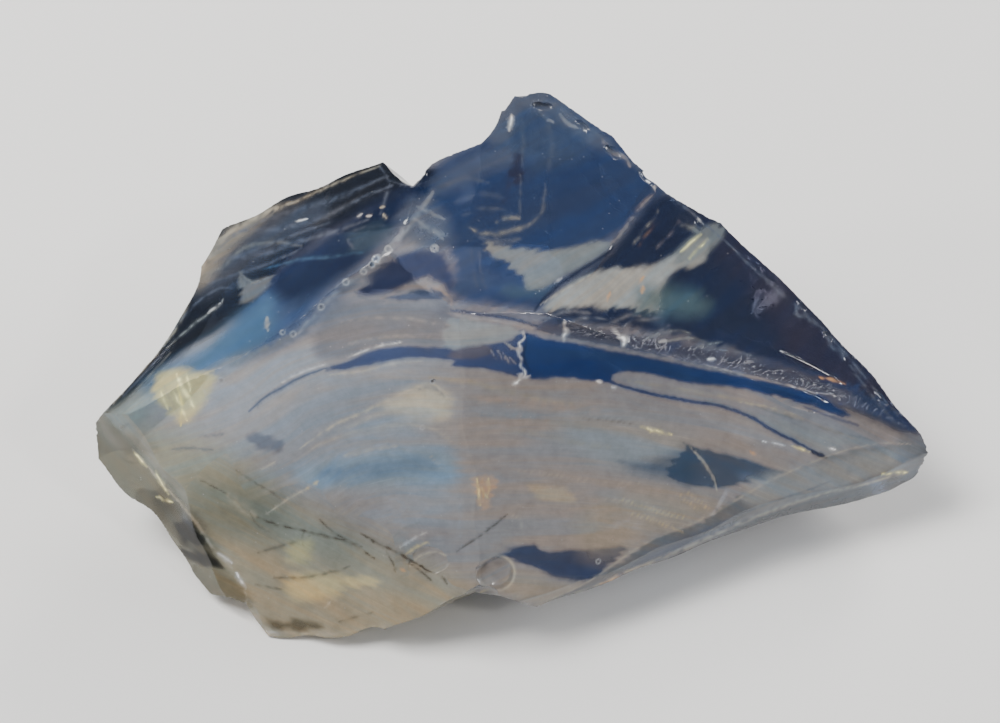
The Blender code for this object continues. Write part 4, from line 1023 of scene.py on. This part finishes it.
    "crackL": ("brown", 0.5, 0.12, 0.0, ((-24.6, -19.9), (-24.9, -21.6))),
    "crackM": ("brown", 0.45, 0.13, 0.0, ((-31.1, -17.4), (-30.4, -19.1), (-28.8, -20.1))),
    "fleckA": ("smoke", 0.6, 0.13, 0.0, ((-48.4, -11.3), (-46.9, -12.3))),
    "fleckB": ("smoke", 0.6, 0.15, 0.0, ((-47.4, -14), (-45.3, -14.7))),
    "fleckC": ("smoke", 0.6, 0.15, 0.0, ((-45.1, -15.5), (-43.5, -14.9))),
    "fleckD": ("smoke", 0.6, 0.13, 0.0, ((-46.5, -12.7), (-45.8, -13.7))),
    "brownSpot": ("brown", 0.7, 0.3, 0.0, ((-46.9, -7.5), (-46, -7.1))),
    "pinkLow": ("smoke", 0.5, 0.18, 0.0, ((-20.5, -31), (-18.5, -30.5), (-16.5, -29.9))),
    # painted highlight: a cream line of light along the lower rim
    "lowRim": ("cream", 0.4, 0.25, 0.0, (
        (-32.1, -28.7), (-29.7, -32.0), (-25.4, -32.7), (-20.4, -32.5), (-15.5, -31.4))),
    "bevelCrest": ("cream", 0.4, 0.15, 0.03, (
        (4.7, -28.4), (9.9, -26), (17.2, -21.2), (23.4, -18.8), (30.5, -14.8), (38.7, -11.2),
        (44.9, -9.7), (49.8, -9.6))),
    "bevelLineA": ("haze", 0.5, 0.16, 0.02, ((16, -23.6), (23.4, -20.2), (30.8, -17.2), (39.5, -14.2))),
    "bevelLineB": ("veilAndSheen", 0.4, 0.14, 0.02, ((23.4, -20.7), (30.9, -17.9), (39.6, -14.9))),
    # painted highlight: a cream line of light near the bevel's lower rim
    "bevelRimLine": ("cream", 0.6, 0.25, 0.0, (
        (6.1, -28.2), (10.9, -26.6), (15.6, -24.6), (22.7, -21.8), (29.7, -18.8), (36.8, -16.2),
        (43.9, -14.6), (48, -13.4))),
    "bevelLineC": ("lilacBlue", 0.5, 0.35, 0.02, ((20, -22.8), (27, -19.6), (34, -16.8), (42, -14.2))),
    # painted highlight: a pale line of light along the right rim
    "rightRimLine": ("haze", 0.7, 0.18, 0.0, ((41.5, 0.7), (44.8, -3.6), (48.3, -7.9))),
    "scratch": ("cream", 0.3, 0.12, 0.0, ((-9.3, -10.6), (-7.5, -12.4))),
    "peakWhite": ("white", 1.0, 0.24, 0.05, ((0.4, 30.4), (0.4, 29.6), (0.2, 28.4))),
    "sparkA": ("white", 1.0, 0.13, 0.0, ((-18.1, 17.8), (-17.4, 18.3))),
    "sparkB": ("white", 0.9, 0.14, 0.0, ((-16.9, 17.9), (-16.3, 18.0))),
    "sparkC": ("cream", 0.8, 0.15, 0.0, ((-15.2, 18.9), (-14.7, 19.1))),
    "sparkD": ("cream", 0.8, 0.15, 0.0, ((-14.9, 18.1), (-14.3, 17.5))),
    "sparkE": ("white", 1.0, 0.1, 0.0, ((-25.8, 17.6), (-24.4, 17.9))),
    "sparkF": ("cream", 0.9, 0.16, 0.0, ((-22.3, -29.4), (-21.5, -28.6))),
    "sparkG": ("gold", 0.8, 0.16, 0.0, ((-3.3, -27.2), (-2.4, -26.8))),
    "sparkH": ("white", 0.9, 0.16, 0.05, ((23.2, 17.9), (23.9, 17.3))),
    "sparkI": ("white", 0.9, 0.16, 0.05, ((17.7, 22.3), (18.0, 21.4))),
    # painted glints: small orange spots of light
    "orangeGlintA": ("orange", 0.8, 0.2, 0.0, ((15.7, 9.9), (16.4, 10.8))),
    "orangeGlintB": ("orange", 0.7, 0.2, 0.0, ((16.3, 9.6), (16.2, 8.8))),
    "orangeGlintC": ("orange", 0.7, 0.16, 0.0, ((11.9, 7.7), (12.3, 8.9))),
    "orangeGlintD": ("orange", 0.6, 0.2, 0.0, ((29.6, -10.5), (30.2, -10.8))),
    "orangeGlintE": ("orange", 0.8, 0.2, 0.0, ((-13.0, -24.3), (-12.4, -24.6))),
}

# Bubbles that broke open or lie just under the front: place across and up, and radius.
bubbles = {
    "depth": 0.4,
    "places": (
        (-14.1, 13.8, 0.42), (-15.5, 12.6, 0.5), (-16.0, 11.9, 0.4), (-17.0, 11.1, 0.38), (-19.1, 9.9, 0.4),
        (-22.1, 7.0, 0.4), (-25.5, 3.8, 0.35), (-34.3, -1.7, 0.36), (-26.8, 4.0, 0.3), (10.9, -23.6, 0.3),
        (-8.9, -1.8, 0.3), (-10.2, -7.3, 0.3), (-8.7, 13.9, 0.42)),
    "moon": (-1.3, -24.8, 2.1),
}

# Rough, crumbly glass along the rib: half its width, and its line.
rubble = {
    "width": 0.62,
    "fadeFrom": 38.0,  # how far across it starts to thin out
    "line": (
        (6.5, 4.6), (10, 4.0), (15.8, 2.7), (20.7, 1.8), (25.6, 0.9), (30.6, -0.3), (35.6, -1.7),
        (40.6, -3.5), (45.7, -5.6), (48.9, -7.6)),
}

# Which way the streaks of each front face run: along the band, or at an angle.
grain = {
    "band": (
        (-54, -13), (-42, -9.5), (-31, -5.4), (-24.7, -1.6), (-15.6, 1.0), (-6, 1.2), (1.5, 1.3),
        (15.8, 0.4), (28, -1.8), (37, -5.2), (48, -10), (56, -13.5)),
    "angles": {
        "wing": 30.0, "lowerLeft": -27.0, "leftChamfer": -50.0, "bevel": 17.0, "upper": 30.0,
        "rightFacet": 42.0},
    "hiddenAngle": 24.0,
    "feather": (7.0, 0.5),  # length and width of the feathers at the patches' ends
    "featherReach": 0.8,
}


def smoothCurve(points, closed=False, steps=4):
    # a soft curve through the points, as rows of across and up
    p = np.array(points, float)
    if closed:
        p = np.vstack((p[-1:], p, p[:2]))
    else:
        p = np.vstack((2 * p[:1] - p[1:2], p, 2 * p[-1:] - p[-2:-1]))
    t = (np.arange(steps) / steps)[:, None]
    made = [
        0.5 * (2 * b + (c - a) * t + (2 * a - 5 * b + 4 * c - d) * t ** 2
               + (3 * b - a - 3 * c + d) * t ** 3)
        for a, b, c, d in zip(p[:-3], p[1:-2], p[2:-1], p[3:])
    ]
    return np.vstack(made + [p[-2:-1]])


def nearCurve(across, up, curve):
    # distance to a curve, how far along it the nearest point is, on which side, its length and its heading
    best = np.full(len(across), 1e9)
    along = np.zeros(len(across))
    side = np.ones(len(across))
    heading = np.zeros(len(across))
    lengths = np.hypot(*np.diff(curve, axis=0).T)
    before = np.concatenate(((0,), np.cumsum(lengths)))
    for i, length in enumerate(lengths):
        if length > 1e-6:
            (x, y), (dx, dy) = curve[i], (curve[i + 1] - curve[i]) / length
            t = np.clip((across - x) * dx + (up - y) * dy, 0, length)
            away = np.hypot(across - x - t * dx, up - y - t * dy)
            closer = away < best
            best = np.where(closer, away, best)
            along = np.where(closer, before[i] + t, along)
            side = np.where(closer, np.sign(dx * (up - y) - dy * (across - x)), side)
            heading = np.where(closer, math.atan2(dy, dx), heading)
    return best, along / max(before[-1], 1e-6), side, before[-1], heading


def insideCurve(across, up, curve):
    inside = np.zeros(len(across), bool)
    for (x, y), (nextX, nextY) in zip(curve[:-1], curve[1:]):
        if y != nextY:
            crosses = (y > up) != (nextY > up)
            inside ^= crosses & (across < x + (up - y) / (nextY - y) * (nextX - x))
    return inside


def near(across, up, curve, reach):
    low, high = curve.min(0) - reach, curve.max(0) + reach
    return np.flatnonzero((across > low[0]) & (across < high[0]) & (up > low[1]) & (up < high[1]))


def wash(colours, across, up, tint, strength, soft, outline):
    curve = smoothCurve(outline, closed=True)
    at = near(across, up, curve, soft * 1.5)
    away = nearCurve(across[at], up[at], curve)[0]
    away = np.where(insideCurve(across[at], up[at], curve), -away, away)
    t = np.clip(0.5 - away / (2 * soft), 0, 1)
    mask = (t * t * (3 - 2 * t) * strength)[:, None]
    colours[at] += (np.array(tints[tint]) - colours[at]) * mask


# How the paint wanders and fades, in millimetres where it is a size.
paint = {
    "noises": {  # each one's size and seed
        "wide": (5.0, 3.1), "close": (1.3, 8.2), "tiny": (0.5, 1.4), "gaps": (0.8, 4.9)},
    "featherSeed": 5.7,
    "wanderAcross": (0.5, 0.12, 0.08),  # how far the wide, close and tiny noise push an outline
    "wanderUp": (-0.3, 0.12, 0.08),
    "lineWander": (0.12, 0.08),
    "lineReach": 3,  # how far a line fades out, in half widths
    "taper": (0.35, 0.65),  # a line's width at its ends, and how much it gains in the middle
    "whole": (0.75, 1.1),  # how whole a line is, and how much that varies
    "relief": (0.6, 0.8),  # the same for how far it stands out
    "crumbRelief": 0.12,
    "rimFade": 4.0,  # how softly the front's paint ends below the lower rim
    "chipHaze": 0.5,
}

# Small faces are made near the fine paint.
refine = {
    "longest": 0.26,  # edges longer than this are halved
    "faintest": 0.4,  # lines weaker than this need none
    "line": (1.15, 0.06),  # how far they reach from a line: so many half widths, and this much more
    "softest": 0.5,  # patches with softer edges need none
    "patch": (0.7, 0.2),
    "bubble": 0.4,
}


def lineMask(across, up, width, points):
    curve = smoothCurve(points, steps=5)
    at = near(across, up, curve, width * paint["lineReach"])
    away, along = nearCurve(across[at], up[at], curve)[:2]
    end, gain = paint["taper"]
    taper = end + gain * np.sqrt(np.sin(np.pi * np.clip(along, 0.02, 0.98)))
    return at, np.exp(-(away / (width * taper)) ** 2 * 0.9)


def grainOf(kind, across, up):
    # how far along and across the streaks a place lies, in millimetres, and their heading
    if kind in frontKindNames and kind not in grain["angles"]:
        away, along, side, length, heading = nearCurve(across, up, smoothCurve(grain["band"]))
        return along * length, away * side, heading
    turn = math.radians(grain["angles"].get(kind, grain["hiddenAngle"]))
    along = across * math.cos(turn) + up * math.sin(turn)
    over = up * math.cos(turn) - across * math.sin(turn)
    return along, over, np.full(len(across), turn)


def noiseOf(places, size, seed):
    shift = Vector((seed, seed * 1.7, -seed))
    return np.array([noise.noise(Vector(p) / size + shift) for p in places])


def fineCurves():
    # every curve whose paint needs small faces, and how far from it they reach
    times, more = refine["line"]
    curves = [
        (smoothCurve(points), width * times + more)
        for tint, strength, width, relief, points in lines.values() if strength > refine["faintest"]
    ]
    times, more = refine["patch"]
    for tint, strength, soft, outline in patches.values():
        if soft <= refine["softest"]:
            curves.append((smoothCurve(outline, closed=True), soft * times + more))
    curves.append((smoothCurve(rubble["line"]), rubble["width"]))
    for x, y, radius in bubbles["places"] + (bubbles["moon"],):
        turns = np.linspace(0, 2 * math.pi, 13)
        circle = np.column_stack((x + radius * np.cos(turns), y + radius * np.sin(turns)))
        curves.append((circle, refine["bubble"]))
    return curves


def refineNear(body):
    # halves the edges near the fine lines of the front
    mesh = body.data
    bm = bmesh.new()
    bm.from_mesh(mesh)
    frontFaces = {i for i, m in enumerate(mesh.materials) if kindName(m) in paintedKinds}
    edges = [
        e for e in bm.edges
        if e.calc_length() > refine["longest"] * mm
        and any(f.material_index in frontFaces for f in e.link_faces)
    ]
    middles = np.array([(e.verts[0].co + e.verts[1].co) / 2 for e in edges])
    across, up = slopeCoordinates(middles)[:2]
    close = np.zeros(len(edges), bool)
    for curve, reach in fineCurves():
        at = near(across, up, curve, reach)
        close[at] |= nearCurve(across[at], up[at], curve)[0] < reach
    bmesh.ops.subdivide_edges(
        bm, edges=[e for e, c in zip(edges, close) if c], cuts=1, use_grid_fill=True)
    bm.normal_update()
    bm.to_mesh(mesh)
    bm.free()


def blendIn(colours, at, tint, mask):
    colours[at] += (np.array(tints[tint]) - colours[at]) * mask[:, None]


def paintGlass(body):
    mesh = body.data
    places = np.empty(len(mesh.vertices) * 3)
    mesh.vertices.foreach_get("co", places)
    places = places.reshape(-1, 3)
    across, up, out = slopeCoordinates(places)
    loopVerts = np.empty(len(mesh.loops), int)
    mesh.loops.foreach_get("vertex_index", loopVerts)
    faceKinds = np.empty(len(mesh.polygons), int)
    mesh.polygons.foreach_get("material_index", faceKinds)
    totals = np.empty(len(mesh.polygons), int)
    mesh.polygons.foreach_get("loop_total", totals)
    loopKinds = np.repeat(faceKinds, totals)
    names = [kindName(m) for m in mesh.materials]

    def onKinds(kinds):
        # which of the faces' corners belong to faces of these kinds
        return np.array([name in kinds for name in names])[loopKinds]

    # the streaks' own coordinates, for each face's corners, and roughly for each point
    flow = np.zeros((len(loopVerts), 3))
    heading = np.zeros(len(loopVerts))
    for number, name in enumerate(names):
        here = loopKinds == number
        at = loopVerts[here]
        flow[here, 0], flow[here, 1], heading[here] = grainOf(name, across[at], up[at])
    pointFlow, pointHeading = np.zeros((len(places), 2)), np.zeros(len(places))
    pointFlow[loopVerts], pointHeading[loopVerts] = flow[:, :2], heading
    stretched = np.column_stack((pointFlow / np.array(grain["feather"]), np.zeros(len(places))))

    wide, close, tiny, gaps = (noiseOf(places / mm, size, seed) for size, seed in paint["noises"].values())
    feather = noiseOf(stretched, 1.0, paint["featherSeed"])
    slide = grain["featherReach"] * feather
    a, b, c = paint["wanderAcross"]
    warpX = across + a * wide + b * close + c * tiny + slide * np.cos(pointHeading)
    a, b, c = paint["wanderUp"]
    warpY = up + a * wide + b * close + c * tiny + slide * np.sin(pointHeading)
    through = np.tile(np.array(tints[washes["base"]], float), (len(places), 1))
    for name, entry in washes.items():
        if name != "base":
            wash(through, warpX, warpY, *entry)
    front = through.copy()
    for entry in patches.values():
        wash(front, warpX, warpY, *entry)
    b, c = paint["lineWander"]
    fineX = across + b * close + c * tiny
    fineY = up + b * wide + c * tiny
    middle, vary = paint["whole"]
    broken = np.clip(middle + vary * gaps, 0.1, 1)
    middle, vary = paint["relief"]
    height = np.zeros(len(places))
    crumbly = np.zeros(len(places))
    at, mask = lineMask(fineX, fineY, rubble["width"], rubble["line"])
    thin = np.clip(1 - (across[at] - rubble["fadeFrom"]) / 8, 0.15, 1)
    crumbly[at] = np.clip(mask * 1.5 * (0.7 + 0.9 * feather[at]), 0, 1) * thin
    for tint, strength, width, relief, points in lines.values():
        at, mask = lineMask(fineX, fineY, width, points)
        blendIn(front, at, tint, mask * strength * (1 if tint in lineTints else broken[at]))
        height[at] += relief * mask * (middle + vary * tiny[at])
        if tint == "white":
            crumbly[at] *= 1 - mask  # no crumbs over the white marks: frosty lumps and painted glints
    # painted highlight: a pale ring of light round each bubble pit
    for x, y, radius in bubbles["places"]:
        away = np.hypot(across - x, up - y) / radius
        at = np.flatnonzero(away < 2)
        blendIn(front, at, "bubble", np.exp(-((away[at] - 0.85) / 0.25) ** 2) * 0.8)
    # painted reflection and highlight: the moon's inside is darkened as a dark reflection, and its rim gets
    # a cream line of light
    x, y, radius = bubbles["moon"]
    away = np.hypot(across - x, up - y) / radius
    at = np.flatnonzero(away < 1.4)
    blendIn(front, at, "smoke", np.where(away[at] < 0.95, 0.35, 0) * np.clip(0.5 + close[at], 0, 1))
    rim = np.exp(-((away[at] - 1) / 0.08) ** 2) * np.clip(0.25 + 0.75 * (across[at] - x) / radius, 0.1, 1)
    blendIn(front, at, "cream", rim)

    # only the front faces take the front's paint, and chips show paler glass
    onFront = onKinds(paintedKinds)
    colours = np.where(onFront[:, None], front[loopVerts], through[loopVerts])
    # and the under faces do just below the rim
    under = np.flatnonzero(onKinds(("underRight", "underNotch", "underFront")))
    rimward = np.clip((out[loopVerts[under]] + glass["rimDepth"]) / paint["rimFade"], 0, 1)[:, None]
    colours[under] += (front[loopVerts[under]] - colours[under]) * rimward
    chipped = np.flatnonzero(onKinds(("chip", "rimChip")))
    pale = np.clip(0.45 + 0.9 * close[loopVerts[chipped]], 0.1, 1)
    blendIn(colours, chipped, "haze", pale * paint["chipHaze"])
    tintLayer = mesh.color_attributes.new("tint", "FLOAT_COLOR", "CORNER")
    tintLayer.data.foreach_set("color", colours.ravel())
    flow[:, 2] = np.where(onFront, crumbly[loopVerts], 0)
    flowLayer = mesh.attributes.new("flow", "FLOAT_VECTOR", "CORNER")
    flowLayer.data.foreach_set("vector", flow.ravel())
    # the lines' relief, only where every face round a point is a front one
    frontOnly = np.ones(len(places), bool)
    frontOnly[loopVerts[~onFront]] = False
    height += crumbly * paint["crumbRelief"] * (tiny - 0.2)
    places[frontOnly] += np.outer(height[frontOnly] * mm, np.array(outward))
    mesh.vertices.foreach_set("co", np.clip(places, np.array(cadLow), np.array(cadHigh)).ravel())


def smoothPoints(bm, points, factor, turns):
    for turn in range(turns):
        bmesh.ops.smooth_vert(
            bm, verts=points, factor=factor, use_axis_x=True, use_axis_y=True, use_axis_z=True)


def softenEdges(body):
    # rounds the sharp edges by about the size of one small face, so that they catch the light
    bm = bmesh.new()
    bm.from_mesh(body.data)
    sharp = math.radians(glass["sharpDegrees"])
    onEdges = {v for e in bm.edges if e.calc_face_angle(0) > sharp for v in e.verts}
    smoothPoints(bm, list(onEdges), *glass["softening"])
    middle = Vector((0, 0, slope["height"]))
    for (across, up), reach, turns in glass["rounded"]:
        corner = [
            v for v in bm.verts
            if math.hypot(v.co.x / mm - across, (v.co / mm - middle).dot(uphill) - up) < reach]
        smoothPoints(bm, corner, glass["rounding"], turns)
    bm.to_mesh(body.data)
    bm.free()


# The glass's edges and material.
glass = {
    "sharpDegrees": 30.0,
    "softening": (0.4, 2),  # how strongly and how often the sharp edges are smoothed
    "rounding": 0.5,
    "rounded": (  # places with softer creases: across and up, reach and turns
        ((0.6, 32.3), 2.0, 40), ((51.0, -12.0), 2.0, 8), ((-49.6, -7.4), 1.6, 6), ((-11.2, 21.6), 2.0, 20),
        ((-9.0, 11.5), 6.5, 30)),
    "creaseDegrees": 42.0,
    "roughness": (0.14, 0.04),  # where it is milky, and where it is clear
    "ior": 1.5,
    "transmission": 0.5,
    "warm": (1.11, 1.0, 0.90),  # the streaks lie between these two tints
    "cool": (0.90, 1.0, 1.10),
    "rimDepth": 19.0,  # how far below the slope the front's paint goes over the lower rim
    # streaks: how much finer they are along and across the flow, their detail and their distortion
    "broadStreaks": ((0.05, 0.42), 3.0, 0.5),
    "fineStreaks": ((0.20, 1.8), 3.0, 0.4),
    "hairs": ((0.09, 5.0), 2.0, 0.15),
    "crumbs": ((0.55, 1.7), 5.0, 1.8),
    "streakGain": (0.95, 1.05),  # how dark and how light the fine streaks make it
    "cloudSize": 750.0,
    "cloudGain": (0.90, 1.10),
    "hairGain": 0.10,
    "specks": 0.35,
    "speckSize": 620.0,
    "speckTint": (0.7, 0.7, 0.72),
    "streakRelief": 0.12,
    "bump": (0.5, 0.00012),  # strength, and height in metres
    "glintFrom": 0.6,  # how pale the tint is where glints begin
    "glint": 0.55,
    "crumbDark": (0.050, 0.055, 0.090),
    "crumbPale": (0.30, 0.29, 0.33),
}


def addNode(tree, kind, inputs=None, **values):
    # an input takes a plain value or another node's output
    node = tree.nodes.new(kind)
    for name, value in values.items():
        setattr(node, name, value)
    for name, value in (inputs or {}).items():
        if isinstance(value, bpy.types.NodeSocket):
            tree.links.new(value, node.inputs[name])
        else:
            node.inputs[name].default_value = value
    return node


def glassMaterial():
    material = bpy.data.materials.new("slagGlass")
    material.use_nodes = True
    tree = material.node_tree
    link = tree.links.new
    shader = tree.nodes["Principled BSDF"]
    shader.inputs["IOR"].default_value = glass["ior"]
    shader.inputs["Transmission Weight"].default_value = glass["transmission"]
    shader.inputs["Emission Strength"].default_value = 1.0
    tint = addNode(tree, "ShaderNodeAttribute", attribute_name="tint")
    flow = addNode(tree, "ShaderNodeAttribute", attribute_name="flow").outputs["Vector"]
    crumbly = addNode(tree, "ShaderNodeSeparateXYZ", {0: flow}).outputs["Z"]
    place = addNode(tree, "ShaderNodeTexCoord").outputs["Object"]

    def calculate(operation, *values):
        return addNode(tree, "ShaderNodeMath", dict(enumerate(values)), operation=operation).outputs[0]

    def remap(value, start, end, low=0.0, high=1.0, curve="LINEAR"):
        inputs = {"Value": value, "From Min": start, "From Max": end, "To Min": low, "To Max": high}
        return addNode(tree, "ShaderNodeMapRange", inputs, interpolation_type=curve).outputs[0]

    def mixTints(share, first, second):
        return addNode(tree, "ShaderNodeMix", {0: share, 6: first, 7: second}, data_type="RGBA").outputs[2]

    def streaks(stretch, detail, distortion):
        scaled = addNode(tree, "ShaderNodeVectorMath", {0: flow, 1: (*stretch, 0)}, operation="MULTIPLY")
        inputs = {"Scale": 1.0, "Detail": detail, "Roughness": 0.6, "Distortion": distortion}
        pattern = addNode(tree, "ShaderNodeTexNoise", inputs, noise_dimensions="2D")
        link(scaled.outputs[0], pattern.inputs["Vector"])
        return pattern.outputs["Fac"]

    fine = streaks(*glass["fineStreaks"])
    # broad streaks turn the glass warmer and cooler
    turn = remap(streaks(*glass["broadStreaks"]), 0.35, 0.65)
    shift = mixTints(turn, (*glass["cool"], 1), (*glass["warm"], 1))
    shifted = addNode(
        tree, "ShaderNodeVectorMath", {0: tint.outputs["Color"], 1: shift}, operation="MULTIPLY").outputs[0]
    # fine streaks and clouds lighten and darken it a little, and thin pale hairs run along the flow
    inputs = {"Vector": place, "Scale": glass["cloudSize"], "Detail": 4.0, "Roughness": 0.65}
    clouds = addNode(tree, "ShaderNodeTexNoise", inputs).outputs["Fac"]
    lighten = remap(fine, 0.3, 0.7, *glass["streakGain"])
    gain = calculate("MULTIPLY", lighten, remap(clouds, 0.3, 0.7, *glass["cloudGain"]))
    hairs = remap(streaks(*glass["hairs"]), 0.60, 0.72, 0.0, glass["hairGain"])
    gained = calculate("MULTIPLY", gain, calculate("MULTIPLY_ADD", hairs, turn, 1.0))
    streaked = addNode(
        tree, "ShaderNodeVectorMath", {0: shifted, "Scale": gained}, operation="SCALE").outputs[0]
    # crumbs on the rib
    ridges = remap(streaks(*glass["crumbs"]), 0.52, 0.74, curve="SMOOTHSTEP")
    crumbTint = mixTints(ridges, (*glass["crumbDark"], 1), (*glass["crumbPale"], 1))
    withCrumbs = mixTints(crumbly, streaked, crumbTint)
    # tiny seeds and dust
    cells = addNode(tree, "ShaderNodeTexVoronoi", {"Vector": place, "Scale": glass["speckSize"]})
    dots = calculate("MULTIPLY", remap(cells.outputs["Distance"], 0.02, 0.07, 1.0, 0.0), glass["specks"])
    link(mixTints(dots, withCrumbs, (*glass["speckTint"], 1)), shader.inputs["Base Color"])
    # painted glow: where the tint is palest, at the painted glints and glow, the glass gives off light of
    # its own, standing in for light gathered inside it
    pale = addNode(tree, "ShaderNodeRGBToBW", {0: tint.outputs["Color"]}).outputs[0]
    caught = remap(pale, glass["glintFrom"], 1.0, 0.0, glass["glint"], "SMOOTHSTEP")
    shine = addNode(
        tree, "ShaderNodeVectorMath", {0: tint.outputs["Color"], "Scale": caught}, operation="SCALE")
    link(shine.outputs[0], shader.inputs["Emission Color"])
    link(remap(tint.outputs["Alpha"], 0.0, 1.0, *glass["roughness"]), shader.inputs["Roughness"])
    # relief: streaks everywhere, crumbs on the rib
    fineRelief = calculate("MULTIPLY", fine, glass["streakRelief"])
    strength, height = glass["bump"]
    bump = addNode(tree, "ShaderNodeBump", {
        "Strength": strength, "Distance": height,
        "Height": calculate("MULTIPLY_ADD", ridges, crumbly, fineRelief)})
    link(bump.outputs["Normal"], shader.inputs["Normal"])
    return material


# The kinds of face that take the front's paint.
frontKindNames = {name for name in fractures["faces"] if facesFront(name)}
paintedKinds = frontKindNames | {"groove", "pit", "chip"}


def makeChunk():
    body = newObject("slagGlass", roughBlock)
    body.data.materials.append(kindMaterial("resting"))
    cutters = {}
    for number, name in enumerate(fractures["faces"]):
        cutters[name] = fractureCutter(name, fractures["seedStep"] * number)
        cutters[name].data.materials.append(kindMaterial(name))
    grouped = set()
    for name, others in fractures["groups"].items():
        for other, operation in others:
            combine(cutters[name], cutters[other], operation)
            grouped.add(other)
    for name, cutter in cutters.items():
        if name not in grouped:
            combine(body, cutter, "DIFFERENCE")
    print("glass: the fractures are cut out")
    made = list(cutters.values())
    for kind in ("groove", "pit", "chip"):
        for name, bite in bites[kind].items():
            made.append(biteCutter(name, bite, 5 if kind == "groove" else 4))
            biteOut(body, made[-1], kind)
    for x, y, radius in bubbles["places"]:
        made.append(biteCutter("bubble", (x, y, radius, radius, bubbles["depth"] * radius, 0, 0), 3))
        biteOut(body, made[-1], "pit")
    for name, scar in bites["scar"].items():
        made.append(scarCutter(name, scar))
        biteOut(body, made[-1], "scar")
    applyModifiers(body)
    print("glass: bites and scars are out,", len(body.data.polygons), "faces")
    wear = rimChipCutter(rimSpots(body.data, random.Random(rimChips["seed"])))
    biteOut(body, wear, "rimChip")
    applyModifiers(body)
    for cutter in made + [wear]:
        removeObject(cutter)
    print("glass: the rims are chipped,", len(body.data.polygons), "faces")
    return body


body = makeChunk()
refineNear(body)
print("glass: refined,", sum(len(p.vertices) - 2 for p in body.data.polygons), "triangles")
paintGlass(body)
material = glassMaterial()
body.data.materials.clear()
body.data.materials.append(material)
for polygon in body.data.polygons:
    polygon.material_index = 0
softenEdges(body)
body.data.shade_smooth()
body.data.set_sharp_from_angle(angle=math.radians(glass["creaseDegrees"]))
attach(body, "root")
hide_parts("glass_chunk")
print("glass: painted")


# Floor, light and camera.
studio = {
    "floorSize": 3.0,
    "floorTint": (0.78, 0.78, 0.775),
    "world": (0.50, 0.52, 0.56),
    "worldStrength": 0.42,
    # place in metres, size, power in watts, tint
    "lights": {
        "key": ((-0.40, 0.12, 0.62), 0.35, 8.4, (1.0, 0.98, 0.95)),
        "fill": ((0.75, 0.12, 0.28), 0.30, 4.0, (0.95, 0.97, 1.0)),
        "edge": ((0.50, -0.32, 0.62), 0.08, 1.0, (1.0, 0.98, 0.95)),
        "crest": ((-0.62, -0.08, 0.42), 0.10, 1.0, (1.0, 0.95, 0.88)),
        "rim": ((0.35, 0.62, 0.35), 0.25, 4.0, (1.0, 0.96, 0.9)),
    },
}
view = {
    "distance": 350.0,  # from the slope, in millimetres
    "aimAcross": -0.95,
    "aimUp": 0.54,
    "frameWidth": 119.05,  # how wide the picture is at the slope
    "sensor": 36.0,
}


def buildFloor():
    def build(bm):
        bmesh.ops.create_grid(bm, x_segments=1, y_segments=1, size=studio["floorSize"] / 2)

    floor = newObject("floor", build)
    material = bpy.data.materials.new("paleFloor")
    material.use_nodes = True
    shader = material.node_tree.nodes["Principled BSDF"]
    shader.inputs["Base Color"].default_value = (*studio["floorTint"], 1)
    shader.inputs["Roughness"].default_value = 0.8
    floor.data.materials.append(material)


def buildLights():
    world = bpy.data.worlds.new("studio")
    bpy.context.scene.world = world
    world.use_nodes = True
    background = world.node_tree.nodes["Background"]
    background.inputs["Color"].default_value = (*studio["world"], 1)
    background.inputs["Strength"].default_value = studio["worldStrength"]
    for name, (place, size, power, tint) in studio["lights"].items():
        light = bpy.data.lights.new(name, "AREA")
        light.size = size
        light.energy = power
        light.color = tint
        lamp = bpy.data.objects.new(name, light)
        lamp.location = place
        lamp.rotation_mode = "QUATERNION"
        lamp.rotation_quaternion = Vector(place).to_track_quat("Z", "Y")
        bpy.context.scene.collection.objects.link(lamp)


def buildCamera():
    camera = bpy.data.cameras.new("camera")
    camera.sensor_width = view["sensor"]
    camera.lens = view["sensor"] * view["distance"] / view["frameWidth"]
    camera.clip_start = 0.01
    holder = bpy.data.objects.new("camera", camera)
    holder.location = onSlope(view["aimAcross"], view["aimUp"], view["distance"])
    holder.rotation_mode = "QUATERNION"
    holder.rotation_quaternion = Matrix((Vector((1, 0, 0)), uphill, outward)).transposed().to_quaternion()
    bpy.context.scene.collection.objects.link(holder)
    bpy.context.scene.camera = holder


buildFloor()
buildLights()
buildCamera()
print("studio: floor, lights and camera are in")
